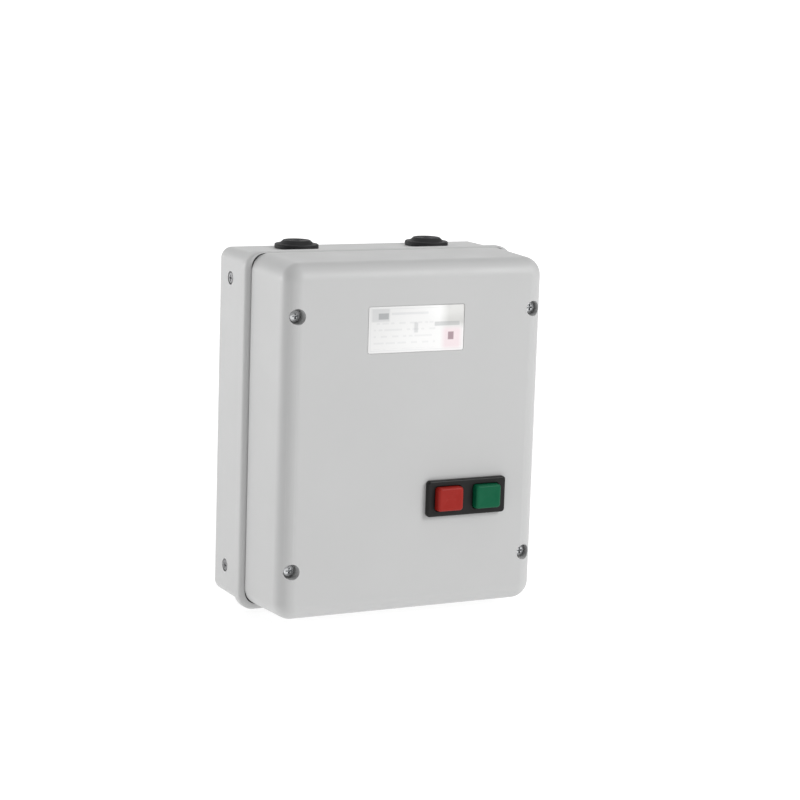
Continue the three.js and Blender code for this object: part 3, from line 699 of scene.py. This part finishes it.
def cover_rings(inset, edge, top, n=14, steps=12, r0=COVER_R):
    """The cover's surface `inset` inside the outer one, from the joint to the front."""
    out = []
    z1 = top
    for k in range(4):
        z = COVER_Z0 + (z1 - edge - COVER_Z0) * k / 3.0
        f = DRAFT * (z - COVER_Z0)
        out.append((rounded(COVER_W - 2 * inset - 2 * f, COVER_H - 2 * inset - 2 * f, r0 - inset * 0.66, n), z))
    for k in range(1, steps + 1):
        a = math.radians(90.0 * k / steps)
        z = z1 - edge + edge * math.sin(a)
        f = DRAFT * (z - COVER_Z0)
        i = edge * (1 - math.cos(a))
        out.append((rounded(COVER_W - 2 * inset - 2 * f - 2 * i, COVER_H - 2 * inset - 2 * f - 2 * i, max(r0 - inset * 0.66 - i, 0.8), n), z))
    return out


def build_cover():
    outer = cover_rings(0.0, COVER_EDGE, COVER_Z1)
    inner = cover_rings(COVER_WALL, 9.5, COVER_Z1 - COVER_WALL, steps=8)
    o = solid("cover_shell", list(reversed(inner)) + outer)
    tubes, webs, discs_ = [], [], []
    for _, i, j in CORNERS:
        tubes.append(rod("t", i * FX, j * FY, [(4.75, COVER_Z0), (4.75, 108.0)], 32))
        webs.append(block("w", min(i * 93, i * 98.2), max(i * 93, i * 98.2), j * FY - 1.5, j * FY + 1.5, COVER_Z0 + 0.01, 103.0))
        discs_.append(rod("d", i * (FX - 1.0), j * FY, [(6.4, 99.4), (6.95, 100.2), (6.95, 109.5)], 32))
    clip = solid("clip", cover_rings(0.6, COVER_EDGE - 0.6, COVER_Z1 - 0.6, steps=8))
    add = merge("tubes", tubes)
    combine(add, [merge("webs", webs)], "UNION")
    combine(add, [merge("discs", discs_)], "UNION")
    combine(add, [clip], "INTERSECT")
    combine(o, [add], "UNION")
    cut = []
    for _, i, j in CORNERS:
        cut.append(rod("p", i * FX, j * FY, [(2.3, 40.0), (2.3, 102.55), (5.5, 102.6), (5.5, 120.0)], 48))
    combine(o, [merge("pockets", cut)])
    cut = [
        solid("s", [(rounded(54.8, 22.2, 1.5, 4, SX, SY), 90.0), (rounded(54.8, 22.2, 1.5, 4, SX, SY), 120.0)]),
        solid("l", [(rounded(LABEL[2] + 1, LABEL[3] + 1, 1.7, 6, LABEL[0], LABEL[1]), 111.5), (rounded(LABEL[2] + 1, LABEL[3] + 1, 1.7, 6, LABEL[0], LABEL[1]), 120.0)]),
    ]
    combine(o, [merge("openings", cut)])
    soften(o, 0.45, 34.0, 3, keep=lambda p, e: abs(abs(p.x) - FX) < 8.5 and abs(abs(p.z) - FY) < 8.5 and -p.y > 103.5)
    soften(o, 0.3, 50.0, 2, keep=lambda p, e: not (abs(abs(p.x) - FX) < 8.5 and abs(abs(p.z) - FY) < 8.5) and -p.y > 111.0)
    soften(o, 0.5, 60.0, 2, keep=lambda p, e: -p.y < COVER_Z0 + 0.02 and (abs(p.x) > 100.0 or abs(p.z) > 124.0))
    smooth(o, 30.0)
    weighted(o)
    return finish_piece(o, MAT["case"], "cover", "cover")


build_cover()

s0, s1 = RIM_Z1 - 1.8, RIM_Z1 + 0.2
seal = loop_loft("seal_ring", [(rounded(201.9, 249.9, 9.4, 12), s0), (rounded(201.9, 249.9, 9.4, 12), s1 - 0.3), (rounded(201.2, 249.2, 9.1, 12), s1),
                               (rounded(200.0, 248.0, 8.5, 12), s1), (rounded(199.3, 247.3, 8.2, 12), s1 - 0.3), (rounded(199.3, 247.3, 8.2, 12), s0)])
smooth(seal, 50.0)
finish_piece(seal, MAT["seal"], "base", "cover_gasket")

lab = solid("printed_label", [(rounded(LABEL[2], LABEL[3], 1.2, 8, LABEL[0], LABEL[1]), 111.55), (rounded(LABEL[2], LABEL[3], 1.2, 8, LABEL[0], LABEL[1]), 111.88),
                              (rounded(LABEL[2] - 0.14, LABEL[3] - 0.14, 1.13, 8, LABEL[0], LABEL[1]), 111.95)])
smooth(lab, 50.0)
finish_piece(lab, MAT["label"], "cover", "rating_label")

# ------------------------------------------------------------------ screws


def cross_cutter(x, y, z0, z1, reach, place=P):
    out = []
    for w, h in ((2 * reach, 1.05), (1.05, 2 * reach)):
        top = rounded(w + 0.5, h + 0.3, 0.4, 2, x, y)
        low = rounded(w * 0.72, h * 0.7, 0.3, 2, x, y)
        out.append(solid("x", [(low, z0), (top, z1)], place=place))
    return out


for where, i, j in CORNERS:
    x, y = i * FX, j * FY
    prof = [(0, RIM_Z1 - 22), (0.5, RIM_Z1 - 21.8), (1.35, RIM_Z1 - 20.4), (1.35, RIM_Z1 - 1), (1.9, RIM_Z1 - 0.4), (1.9, 102.9), (4.0, 102.9), (4.2, 103.1), (4.2, 104.9)]
    prof += arc(3.3, 104.9, 0.9, 0, 78, 5)[1:] + [(2.6, 106.02), (1.4, 106.16), (0, 106.2)]
    s = revolve("cover_screw_" + where + "_fine", prof, 48, x=x, y=y)
    for c in cross_cutter(x, y, 103.8, 106.8, 2.35):
        combine(s, [c])
    soften(s, 0.12, 50.0, 1, keep=lambda p, e: -p.y > 104.4)
    smooth(s, 34.0)
    weighted(s)
    finish_piece(s, MAT["screw"], "cover_screw_" + where, "cover_screw_" + where)

    py = j * SIDE_Y
    place = lambda a, b, c, i=i: P(i * c, a, b)
    prof = [(0, 93.5), (1.5, 94.1), (1.5, 101.2), (3.8, 101.2), (4.0, 101.35), (4.0, 101.7)] + arc(3.3, 101.7, 0.7, 0, 80, 4)[1:] + [(2.0, 102.4), (0, 102.4)]
    s = revolve("chassis_screw_" + where + "_fine", prof, 44, place=place, x=py, y=SIDE_Z)
    for c in cross_cutter(py, SIDE_Z, 101.4, 102.9, 2.3, place=place):
        combine(s, [c])
    smooth(s, 34.0)
    weighted(s)
    finish_piece(s, MAT["zinc"], "base", "chassis_screw_" + where)

# ------------------------------------------------------------------ grommets

for where, i in (("left", -1), ("right", 1)):
    # A flange with a turned edge, a raised crown with a thin dished membrane, and the groove that holds it in the wall.
    prof = [(0, 129.35), (2.0, 129.35), (2.4, 129.6), (3.0, 129.6), (3.4, 129.4), (5.6, 129.4), (6.0, 129.62), (6.6, 129.62), (7.0, 129.5), (8.2, 129.55)]
    prof += arc(9.2, 128.7, 1.2, 96, 24, 6) + [(11.2, 128.5), (11.75, 127.75), (12.3, 127.3), (13.0, 127.2), (14.6, 127.2)] + arc(14.9, 126.3, 0.9, 90, 0, 5)
    prof += [(15.8, 124.5), (15.5, 124.15), (12.5, 124.15), (12.35, 124.0), (12.35, 120.0), (12.5, 119.85), (14.2, 119.85), (14.4, 119.6), (13.6, 117.4), (10.7, 117.4)]
    prof += [(10.5, 117.7), (10.5, 126.6), (9.2, 128.2), (0, 128.2)]
    g = revolve("grommet_" + where, prof, 80, place=along_y, x=i * ENTRY_X, y=ENTRY_Z)
    smooth(g, 40.0)
    weighted(g)
    finish_piece(g, MAT["rubber"], "base", "cable_grommet_" + where)

# ------------------------------------------------------------------ push-button station


def build_bezel():
    rings = [(rounded(54.0, 21.6, 1.8, 4, SX, SY), 97.0), (rounded(54.0, 21.6, 1.8, 4, SX, SY), 112.15)]
    o = solid("bezel_body", rings)
    fl = []
    fl.append((rounded(61.4, 25.4, 2.2, 10, SX, SY), 112.15))
    fl.append((rounded(62.0, 26.0, 2.5, 10, SX, SY), 112.45))
    fl.append((rounded(62.0, 26.0, 2.5, 10, SX, SY), 114.6))
    for k in range(1, 6):
        a = math.radians(90.0 * k / 5)
        i = 1.4 * (1 - math.cos(a))
        fl.append((rounded(62.0 - 2 * i, 26.0 - 2 * i, 2.5 - i, 10, SX, SY), 114.6 + 1.4 * math.sin(a)))
    f = solid("f", fl)
    combine(o, [f], "UNION")
    cut = []
    for x in CAPX:
        cut.append(solid("c", [(rounded(20.8, 17.8, 2.2, 8, x, SY), 99.0), (rounded(20.8, 17.8, 2.2, 8, x, SY), 120.0)]))
    combine(o, [merge("chambers", cut)])
    cut = [rod("h", x, SY, [(3.4, 90.0), (3.4, 105.0)], 32) for x in CAPX]
    for d in (-1, 1):
        cut.append(block("g", min(SX + d * 26.2, SX + d * 30), max(SX + d * 26.2, SX + d * 30), SY - 6, SY + 6, 104.6, 108.6))
    combine(o, [merge("cuts", cut)])
    soften(o, 0.35, 50.0, 3, keep=lambda p, e: -p.y > 115.0)
    smooth(o, 34.0)
    weighted(o)
    return finish_piece(o, MAT["black"], "cover", "button_bezel")


build_bezel()


def build_cap(name, node, body, x, end, material):
    """Rounded cap with a shallow dish in its face, a skirt, and the plunger behind it."""
    rings = [(disc(2.7, 44, x, SY), end), (disc(3.0, 44, x, SY), end + 0.4), (disc(3.0, 44, x, SY), 111.0)]

    def cap(w, h, r):
        # 44 points, so that the plunger's rings skin straight into the cap's
        return rounded(w, h, r, 10, x, SY)

    body_rings = [(cap(18.6, 15.6, 1.6), 112.0), (cap(19.6, 16.6, 1.9), 112.35), (cap(20.0, 17.0, 2.0), 113.0), (cap(19.8, 16.8, 2.0), 119.0)]
    for k in range(1, 7):
        a = math.radians(90.0 * k / 6)
        i = 1.7 * (1 - math.cos(a))
        body_rings.append((cap(19.8 - 2 * i, 16.8 - 2 * i, max(2.4 - i * 0.6, 1.2)), 119.3 + 1.7 * math.sin(a)))
    top = body_rings[-1][1]
    for s, dz in ((15.0, 0.0), (13.6, -0.12), (10.5, -0.34), (7.0, -0.50), (3.6, -0.58)):
        body_rings.append((cap(s, s - 3.0, s * 0.16), top + dz))
    o = solid(name, body_rings)
    stem = solid("stem", rings[:2] + [(disc(3.0, 44, x, SY), 112.6)])
    combine(o, [stem], "UNION")
    smooth(o, 36.0)
    weighted(o)
    return finish_piece(o, material, body, node)


build_cap("stop_cap", "stop_button", "stop_button", CAPX[0], 83.0, MAT["red"])
build_cap("start_cap", "start_button", "start_button", CAPX[1], 63.0, MAT["green"])


def coil_spring(name, node, body, x, y, z0, z1, r, wire, turns):
    """A round-wire compression spring with closed, flat ends, swept as a mesh."""
    bm = bmesh.new()
    steps, sides = int(turns * 28), 10
    rings = []
    for k in range(steps + 1):
        t = k / steps
        a = 2 * math.pi * turns * t
        # end turns lie flat
        e = 1.0 / turns
        g = min(max((t - e * 0.4) / (1 - 0.8 * e), 0.0), 1.0)
        z = z0 + wire + (z1 - z0 - 2 * wire) * g
        ca, sa = math.cos(a), math.sin(a)
        ring = []
        for q in range(sides):
            b = 2 * math.pi * q / sides
            rr_ = r + wire * math.cos(b)
            ring.append(bm.verts.new(P(x + rr_ * ca, y + rr_ * sa, z + wire * math.sin(b))))
        rings.append(ring)
    for a_, b_ in zip(rings, rings[1:]):
        for q in range(sides):
            p = (q + 1) % sides
            bm.faces.new((a_[q], a_[p], b_[p], b_[q]))
    bm.faces.new(list(reversed(rings[0])))
    bm.faces.new(rings[-1])
    o = new_object(name, bm)
    smooth(o, 50.0)
    finish_piece(o, MAT["spring"], body, node)
    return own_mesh(o)


coil_spring("stop_spring_coil", "stop_button_spring", "cover", CAPX[0], SY, 99.4, 111.6, 4.6, 0.42, 6.0)
coil_spring("start_spring_coil", "start_button_spring", "cover", CAPX[1], SY, 99.4, 111.6, 4.6, 0.42, 6.0)
coil_spring("carrier_spring_coil", "carrier_spring", "base", -5.0, 32.5, 42.0, 55.0, 2.6, 0.38, 7.0)

# ------------------------------------------------------------------ inside pieces that keep their CAD shape

K = ("1", "2", "3")
dress("mounting_plate", MAT["steel"], 0.25)
dress("din_rail", MAT["steel"], 0.2)
dress("earth_terminal", MAT["brass"], 0.3)
dress("earth_terminal_screw", MAT["screw"], 0.15)
dress("button_retainer", MAT["black"], 0.3)
dress("start_contact_housing", MAT["device"], 0.5, 3)
dress("start_contact_pusher", MAT["ivory"], 0.3)
dress("contactor_base", MAT["device"], 0.6, 3)
dress("contactor_arc_chamber", MAT["device"], 0.45, 3)
dress("overload_housing", MAT["device"], 0.45, 3)
dress("magnet_core", MAT["iron"], 0.15)
dress("armature", MAT["iron"], 0.15)
dress("coil_bobbin", MAT["ivory"], 0.25)
dress("contact_carrier", MAT["ivory"], 0.3)
dress("overload_trip_bar", MAT["ivory"], 0.2)
dress("overload_dial", MAT["ivory"], 0.2)
dress("overload_reset_button", MAT["blue"], 0.3)
for k in K:
    dress("contact_bridge_l" + k, MAT["copper"], 0.12)
    dress("line_terminal_l" + k, MAT["copper"], 0.12)
    dress("load_terminal_t" + k, MAT["copper"], 0.12)
    dress("overload_heater_t" + k, MAT["copper"], 0.12)
    dress("line_screw_l" + k, MAT["screw"], 0.12)
    dress("load_screw_t" + k, MAT["screw"], 0.12)

# ------------------------------------------------------------------ control wires


def through(points, n):
    """n + 1 points on the centripetal Catmull-Rom curve through the given ones, as the part's wires have it."""
    pts = [Vector(p) for p in points]
    ext = [2 * pts[0] - pts[1]] + pts + [2 * pts[-1] - pts[-2]]
    out = []
    for k in range(n + 1):
        f = (len(pts) - 1) * k / n
        i = min(int(f), len(pts) - 2)
        w = f - i
        a, b, c, d = ext[i:i + 4]
        d0, d1, d2 = (a - b).length ** 0.5, (b - c).length ** 0.5, (c - d).length ** 0.5
        t1 = ((b - a) / d0 - (c - a) / (d0 + d1) + (c - b) / d1) * d1
        t2 = ((c - b) / d1 - (d - b) / (d1 + d2) + (d - c) / d2) * d1
        out.append(b + t1 * w + (-3 * b + 3 * c - 2 * t1 - t2) * w * w + (2 * b - 2 * c + t1 + t2) * w ** 3)
    return out


def conductor(name, node, points, collar, steps=120, sides=14):
    """An insulated wire with a crimped end sleeve at each end: metal tip, plastic collar, then the insulation."""
    path = through(points, steps)
    at = [0.0]
    for p, q in zip(path, path[1:]):
        at.append(at[-1] + (q - p).length)
    total = at[-1]

    def spot(d):
        """The point at length d along the path."""
        d = min(max(d, 0.0), total)
        k = 0
        while k < len(at) - 2 and at[k + 1] < d:
            k += 1
        return path[k].lerp(path[k + 1], (d - at[k]) / max(at[k + 1] - at[k], 1e-6))

    near = [(0.0, 0.55, 1), (0.15, 0.75, 1), (2.2, 0.8, 1), (2.25, 1.15, 2), (2.7, 1.3, 2), (6.6, 1.3, 2), (7.2, 1.62, 2), (8.4, 1.66, 2), (8.8, 1.5, 2), (8.85, 1.2, 0)]
    body = [(d, 1.2, 0) for d in [8.85 + (total - 17.7) * k / 70 for k in range(1, 70)]]
    stations = near + body + [(total - d, r_, m_) for d, r_, m_ in reversed(near)]
    bm = bmesh.new()
    rings, prev = [], None
    for d, r_, m_ in stations:
        tangent = (spot(d + 0.25) - spot(d - 0.25)).normalized()
        if prev is None:
            prev = tangent.orthogonal().normalized()
        prev = (prev - tangent * prev.dot(tangent)).normalized()
        side_ = tangent.cross(prev)
        c = spot(d)
        ring = []
        for q in range(sides):
            a_ = 2 * math.pi * q / sides
            v = c + (prev * math.cos(a_) + side_ * math.sin(a_)) * r_
            ring.append(bm.verts.new(P(v.x, v.y, v.z)))
        rings.append((ring, m_))
    for (ra, ma), (rb, mb) in zip(rings, rings[1:]):
        for q in range(sides):
            f = bm.faces.new((ra[q], ra[(q + 1) % sides], rb[(q + 1) % sides], rb[q]))
            f.material_index = max(ma, mb) if {ma, mb} != {1, 2} else 2
    for ring in (list(reversed(rings[0][0])), rings[-1][0]):
        bm.faces.new(ring).material_index = 1
    o = new_object(name, bm)
    smooth(o, 40.0)
    keep = [p.material_index for p in o.data.polygons]
    finish_piece(o, MAT["cable"], "base", node)
    o.data.materials.append(MAT["screw"])
    o.data.materials.append(MAT[collar])
    for p, k in zip(o.data.polygons, keep):
        p.material_index = k
    return o


conductor("wire_l1_fine", "wire_l1_to_relay", [(-8, 75.6, 67), (-9, 84, 66), (-20, 88, 60), (-27, 76, 56), (-27, 30, 54), (-27, -30, 54), (-26, -52, 56), (-19.6, -58, 58)], "red")
conductor("wire_start_fine", "wire_relay_to_start", [(39.6, -68, 50), (46, -70, 46), (54, -70, 46), (56, -66, 48), (56, -62.6, 49)], "ivory")
conductor("wire_coil_fine", "wire_start_to_coil", [(56, -24.4, 49), (56, -18, 48), (53, -8, 42), (47, 2, 38), (44, 18, 38), (39.6, 24, 40)], "ivory")
conductor("wire_l3_fine", "wire_coil_to_l3", [(39.6, 44, 40), (45, 50, 42), (46, 70, 52), (42, 86, 62), (32, 88, 67), (28, 80, 67), (28, 75.6, 67)], "red")

# ------------------------------------------------------------------ printed tags and dial marks


def tag_material(name, lx, ly, lw, lh, rows_):
    """White printed film with rows of plain grey bars."""
    n = Nodes(name)
    X = n.xyz()
    u = n.range(X[0], (lx - lw / 2) / 1000, (lx + lw / 2) / 1000, 0.0, 1.0)
    v = n.range(X[2], (ly - lh / 2) / 1000, (ly + lh / 2) / 1000, 0.0, 1.0)
    stock = n.ramp(n.noise(40.0, 3.0, 0.5), (0.3, (0.70, 0.70, 0.68)), (0.7, (0.76, 0.76, 0.74)))
    f = n.math("FRACT", n.math("MULTIPLY", v, float(rows_)))
    row = n.math("MULTIPLY", n.range(f, 0.28, 0.34, 0.0, 1.0), n.range(f, 0.66, 0.72, 1.0, 0.0))
    words = n.t.nodes.new("ShaderNodeTexNoise")
    words.noise_dimensions = "1D"
    words.inputs["Scale"].default_value = 11.0
    words.inputs["Detail"].default_value = 0.0
    n.link(n.math("ADD", u, n.math("MULTIPLY", n.math("FLOOR", n.math("MULTIPLY", v, float(rows_))), 0.37)), words.inputs["W"])
    inside = n.math("MULTIPLY", n.math("MULTIPLY", n.range(u, 0.06, 0.08, 0.0, 1.0), n.range(u, 0.92, 0.94, 1.0, 0.0)),
                    n.math("MULTIPLY", n.range(v, 0.08, 0.12, 0.0, 1.0), n.range(v, 0.88, 0.92, 1.0, 0.0)))
    bars = n.math("MULTIPLY", n.math("MULTIPLY", row, n.range(words.outputs["Fac"], 0.43, 0.46, 0.0, 1.0)), inside)
    n.link(n.mix(n.math("MULTIPLY", bars, 0.7), stock, (0.16, 0.16, 0.17)), n.bsdf.inputs["Base Color"])
    n.link(n.range(n.noise(80.0, 3.0, 0.6), 0.3, 0.7, 0.32, 0.45), n.bsdf.inputs["Roughness"])
    n.put(IOR=1.48)
    return n.m


def tag(name, x, y, w, h, z, rows_):
    o = solid(name, [(rounded(w, h, 0.8, 5, x, y), z + 0.02), (rounded(w, h, 0.8, 5, x, y), z + 0.18), (rounded(w - 0.14, h - 0.14, 0.74, 5, x, y), z + 0.24)])
    smooth(o, 50.0)
    return finish_piece(o, tag_material(name + "_print", x, y, w, h, rows_), "base", None)


tag("contactor_tag", 10.0, 18.5, 38.0, 11.0, 88.0, 3)
tag("relay_tag", 10.0, -20.0, 40.0, 6.0, 78.0, 2)

ticks = []
for k in range(9):
    a = math.radians(-120 + 30 * k)
    w = 0.34 if k % 2 else 0.5
    c, q = math.sin(a), math.cos(a)
    r0, r1 = 7.4, (8.7 if k % 2 else 9.3)
    pts = [(-2 + c * r1 + q * w / 2, -34 + q * r1 - c * w / 2), (-2 + c * r1 - q * w / 2, -34 + q * r1 + c * w / 2),
           (-2 + c * r0 - q * w / 2, -34 + q * r0 + c * w / 2), (-2 + c * r0 + q * w / 2, -34 + q * r0 - c * w / 2)]
    ticks.append(solid("tick", [(pts, 78.02), (pts, 78.16)]))
finish_piece(merge("dial_scale", ticks), MAT["ivory"], "base", None)


def coil_material():
    n = Nodes("coil_tape")
    base = n.ramp(n.noise(60.0, 4.0, 0.6), (0.3, (0.30, 0.075, 0.03)), (0.7, (0.42, 0.12, 0.05)))
    n.link(base, n.bsdf.inputs["Base Color"])
    n.link(n.range(n.noise(200.0, 3.0, 0.6), 0.3, 0.7, 0.25, 0.42), n.bsdf.inputs["Roughness"])
    n.bump(n.wave(700.0, "Y"), 0.5, 0.00012)
    return n.m


MAT["coil"] = coil_material()
dress("coil_winding", MAT["coil"], 0.4)

# ------------------------------------------------------------------ camera, light, floor

# The camera stands a little to the left of the object and above it, as the photograph's did.
AZ, PITCH, ROLL = math.radians(26.92), math.radians(10.03), math.radians(1.87)
DIST, TX, TZ, FOCAL_PX = 1.695, -0.0148, -0.0174, 2362.0
fwd = Vector((math.sin(AZ) * math.cos(PITCH), math.cos(AZ) * math.cos(PITCH), -math.sin(PITCH)))
right = fwd.cross(Vector((0, 0, 1))).normalized()
up = right.cross(fwd).normalized()
r2 = right * math.cos(ROLL) + up * math.sin(ROLL)
u2 = -right * math.sin(ROLL) + up * math.cos(ROLL)
centre = Vector((0.0, -0.112 / 2, 0.0))
cam_at = centre - fwd * DIST - r2 * TX - u2 * TZ
cam_data = bpy.data.cameras.new("camera")
cam = bpy.data.objects.new("camera", cam_data)
bpy.context.scene.collection.objects.link(cam)
cam.matrix_world = Matrix((
    (r2.x, u2.x, -fwd.x, cam_at.x),
    (r2.y, u2.y, -fwd.y, cam_at.y),
    (r2.z, u2.z, -fwd.z, cam_at.z),
    (0, 0, 0, 1),
))
cam_data.sensor_width = 36.0
cam_data.lens = 36.0 * FOCAL_PX / 800.0
cam_data.clip_start, cam_data.clip_end = 0.05, 30.0
bpy.context.scene.camera = cam


def area(name, at, target, size, power, colour=(1, 1, 1), size_y=None):
    d = bpy.data.lights.new(name, "AREA")
    d.energy = power
    d.color = colour
    d.size = size
    if size_y:
        d.shape = "RECTANGLE"
        d.size_y = size_y
    o = bpy.data.objects.new(name, d)
    bpy.context.scene.collection.objects.link(o)
    o.location = at
    o.rotation_mode = "QUATERNION"
    o.rotation_quaternion = (Vector(target) - Vector(at)).to_track_quat("-Z", "Y")
    return o


# A big soft key from the front right and above, a panel from behind on the left, a weak fill from the front left
# and another from above, and an even surround.
area("key", (1.62, -2.06, 1.50), (0, -0.05, 0.0), 1.3, 48.5)
area("side", (-2.35, 1.85, 0.27), (0, -0.05, 0.0), 1.2, 38.5)
area("fill", (-1.7, -2.1, 0.7), (0, -0.05, 0.0), 1.6, 2.2)
area("top", (0.1, -0.3, 2.3), (0, -0.05, 0.0), 1.5, 8.5)

scene = bpy.context.scene
scene.view_settings.view_transform = "Standard"
world = bpy.data.worlds.new("studio")
scene.world = world
world.use_nodes = True
world.node_tree.nodes["Background"].inputs[0].default_value = (1.0, 1.0, 1.0, 1.0)
world.node_tree.nodes["Background"].inputs[1].default_value = 0.30


def floor_material():
    """White seamless paper, lit evenly from behind so that it stays clean and pale."""
    n = Nodes("studio_floor")
    base = n.ramp(n.noise(3.0, 3.0, 0.5), (0.3, (0.34, 0.34, 0.34)), (0.7, (0.36, 0.36, 0.36)))
    n.link(base, n.bsdf.inputs["Base Color"])
    n.put(Roughness=0.75)
    n.bsdf.inputs["Emission Color"].default_value = (1.0, 1.0, 1.0, 1.0)
    # brighter towards the backdrop, which the key light reaches least
    n.link(n.range(n.xyz()[1], 0.4, 1.8, 0.78, 0.90), n.bsdf.inputs["Emission Strength"])
    return n.m


bm = bmesh.new()
zf = cad_box[0].z - 0.0002
profile = [(-3.0, zf)] + [(1.6 + 1.2 * math.sin(math.radians(a)), zf + 1.2 - 1.2 * math.cos(math.radians(a))) for a in range(0, 91, 6)] + [(2.8, zf + 3.2)]
rows = [[bm.verts.new((x, y, z)) for x in (-4.0, 4.0)] for y, z in profile]
for a, b in zip(rows, rows[1:]):
    bm.faces.new((a[0], a[1], b[1], b[0]))
floor = new_object("studio_sweep", bm)
for f in floor.data.polygons:
    f.use_smooth = True
floor.data.materials.append(floor_material())
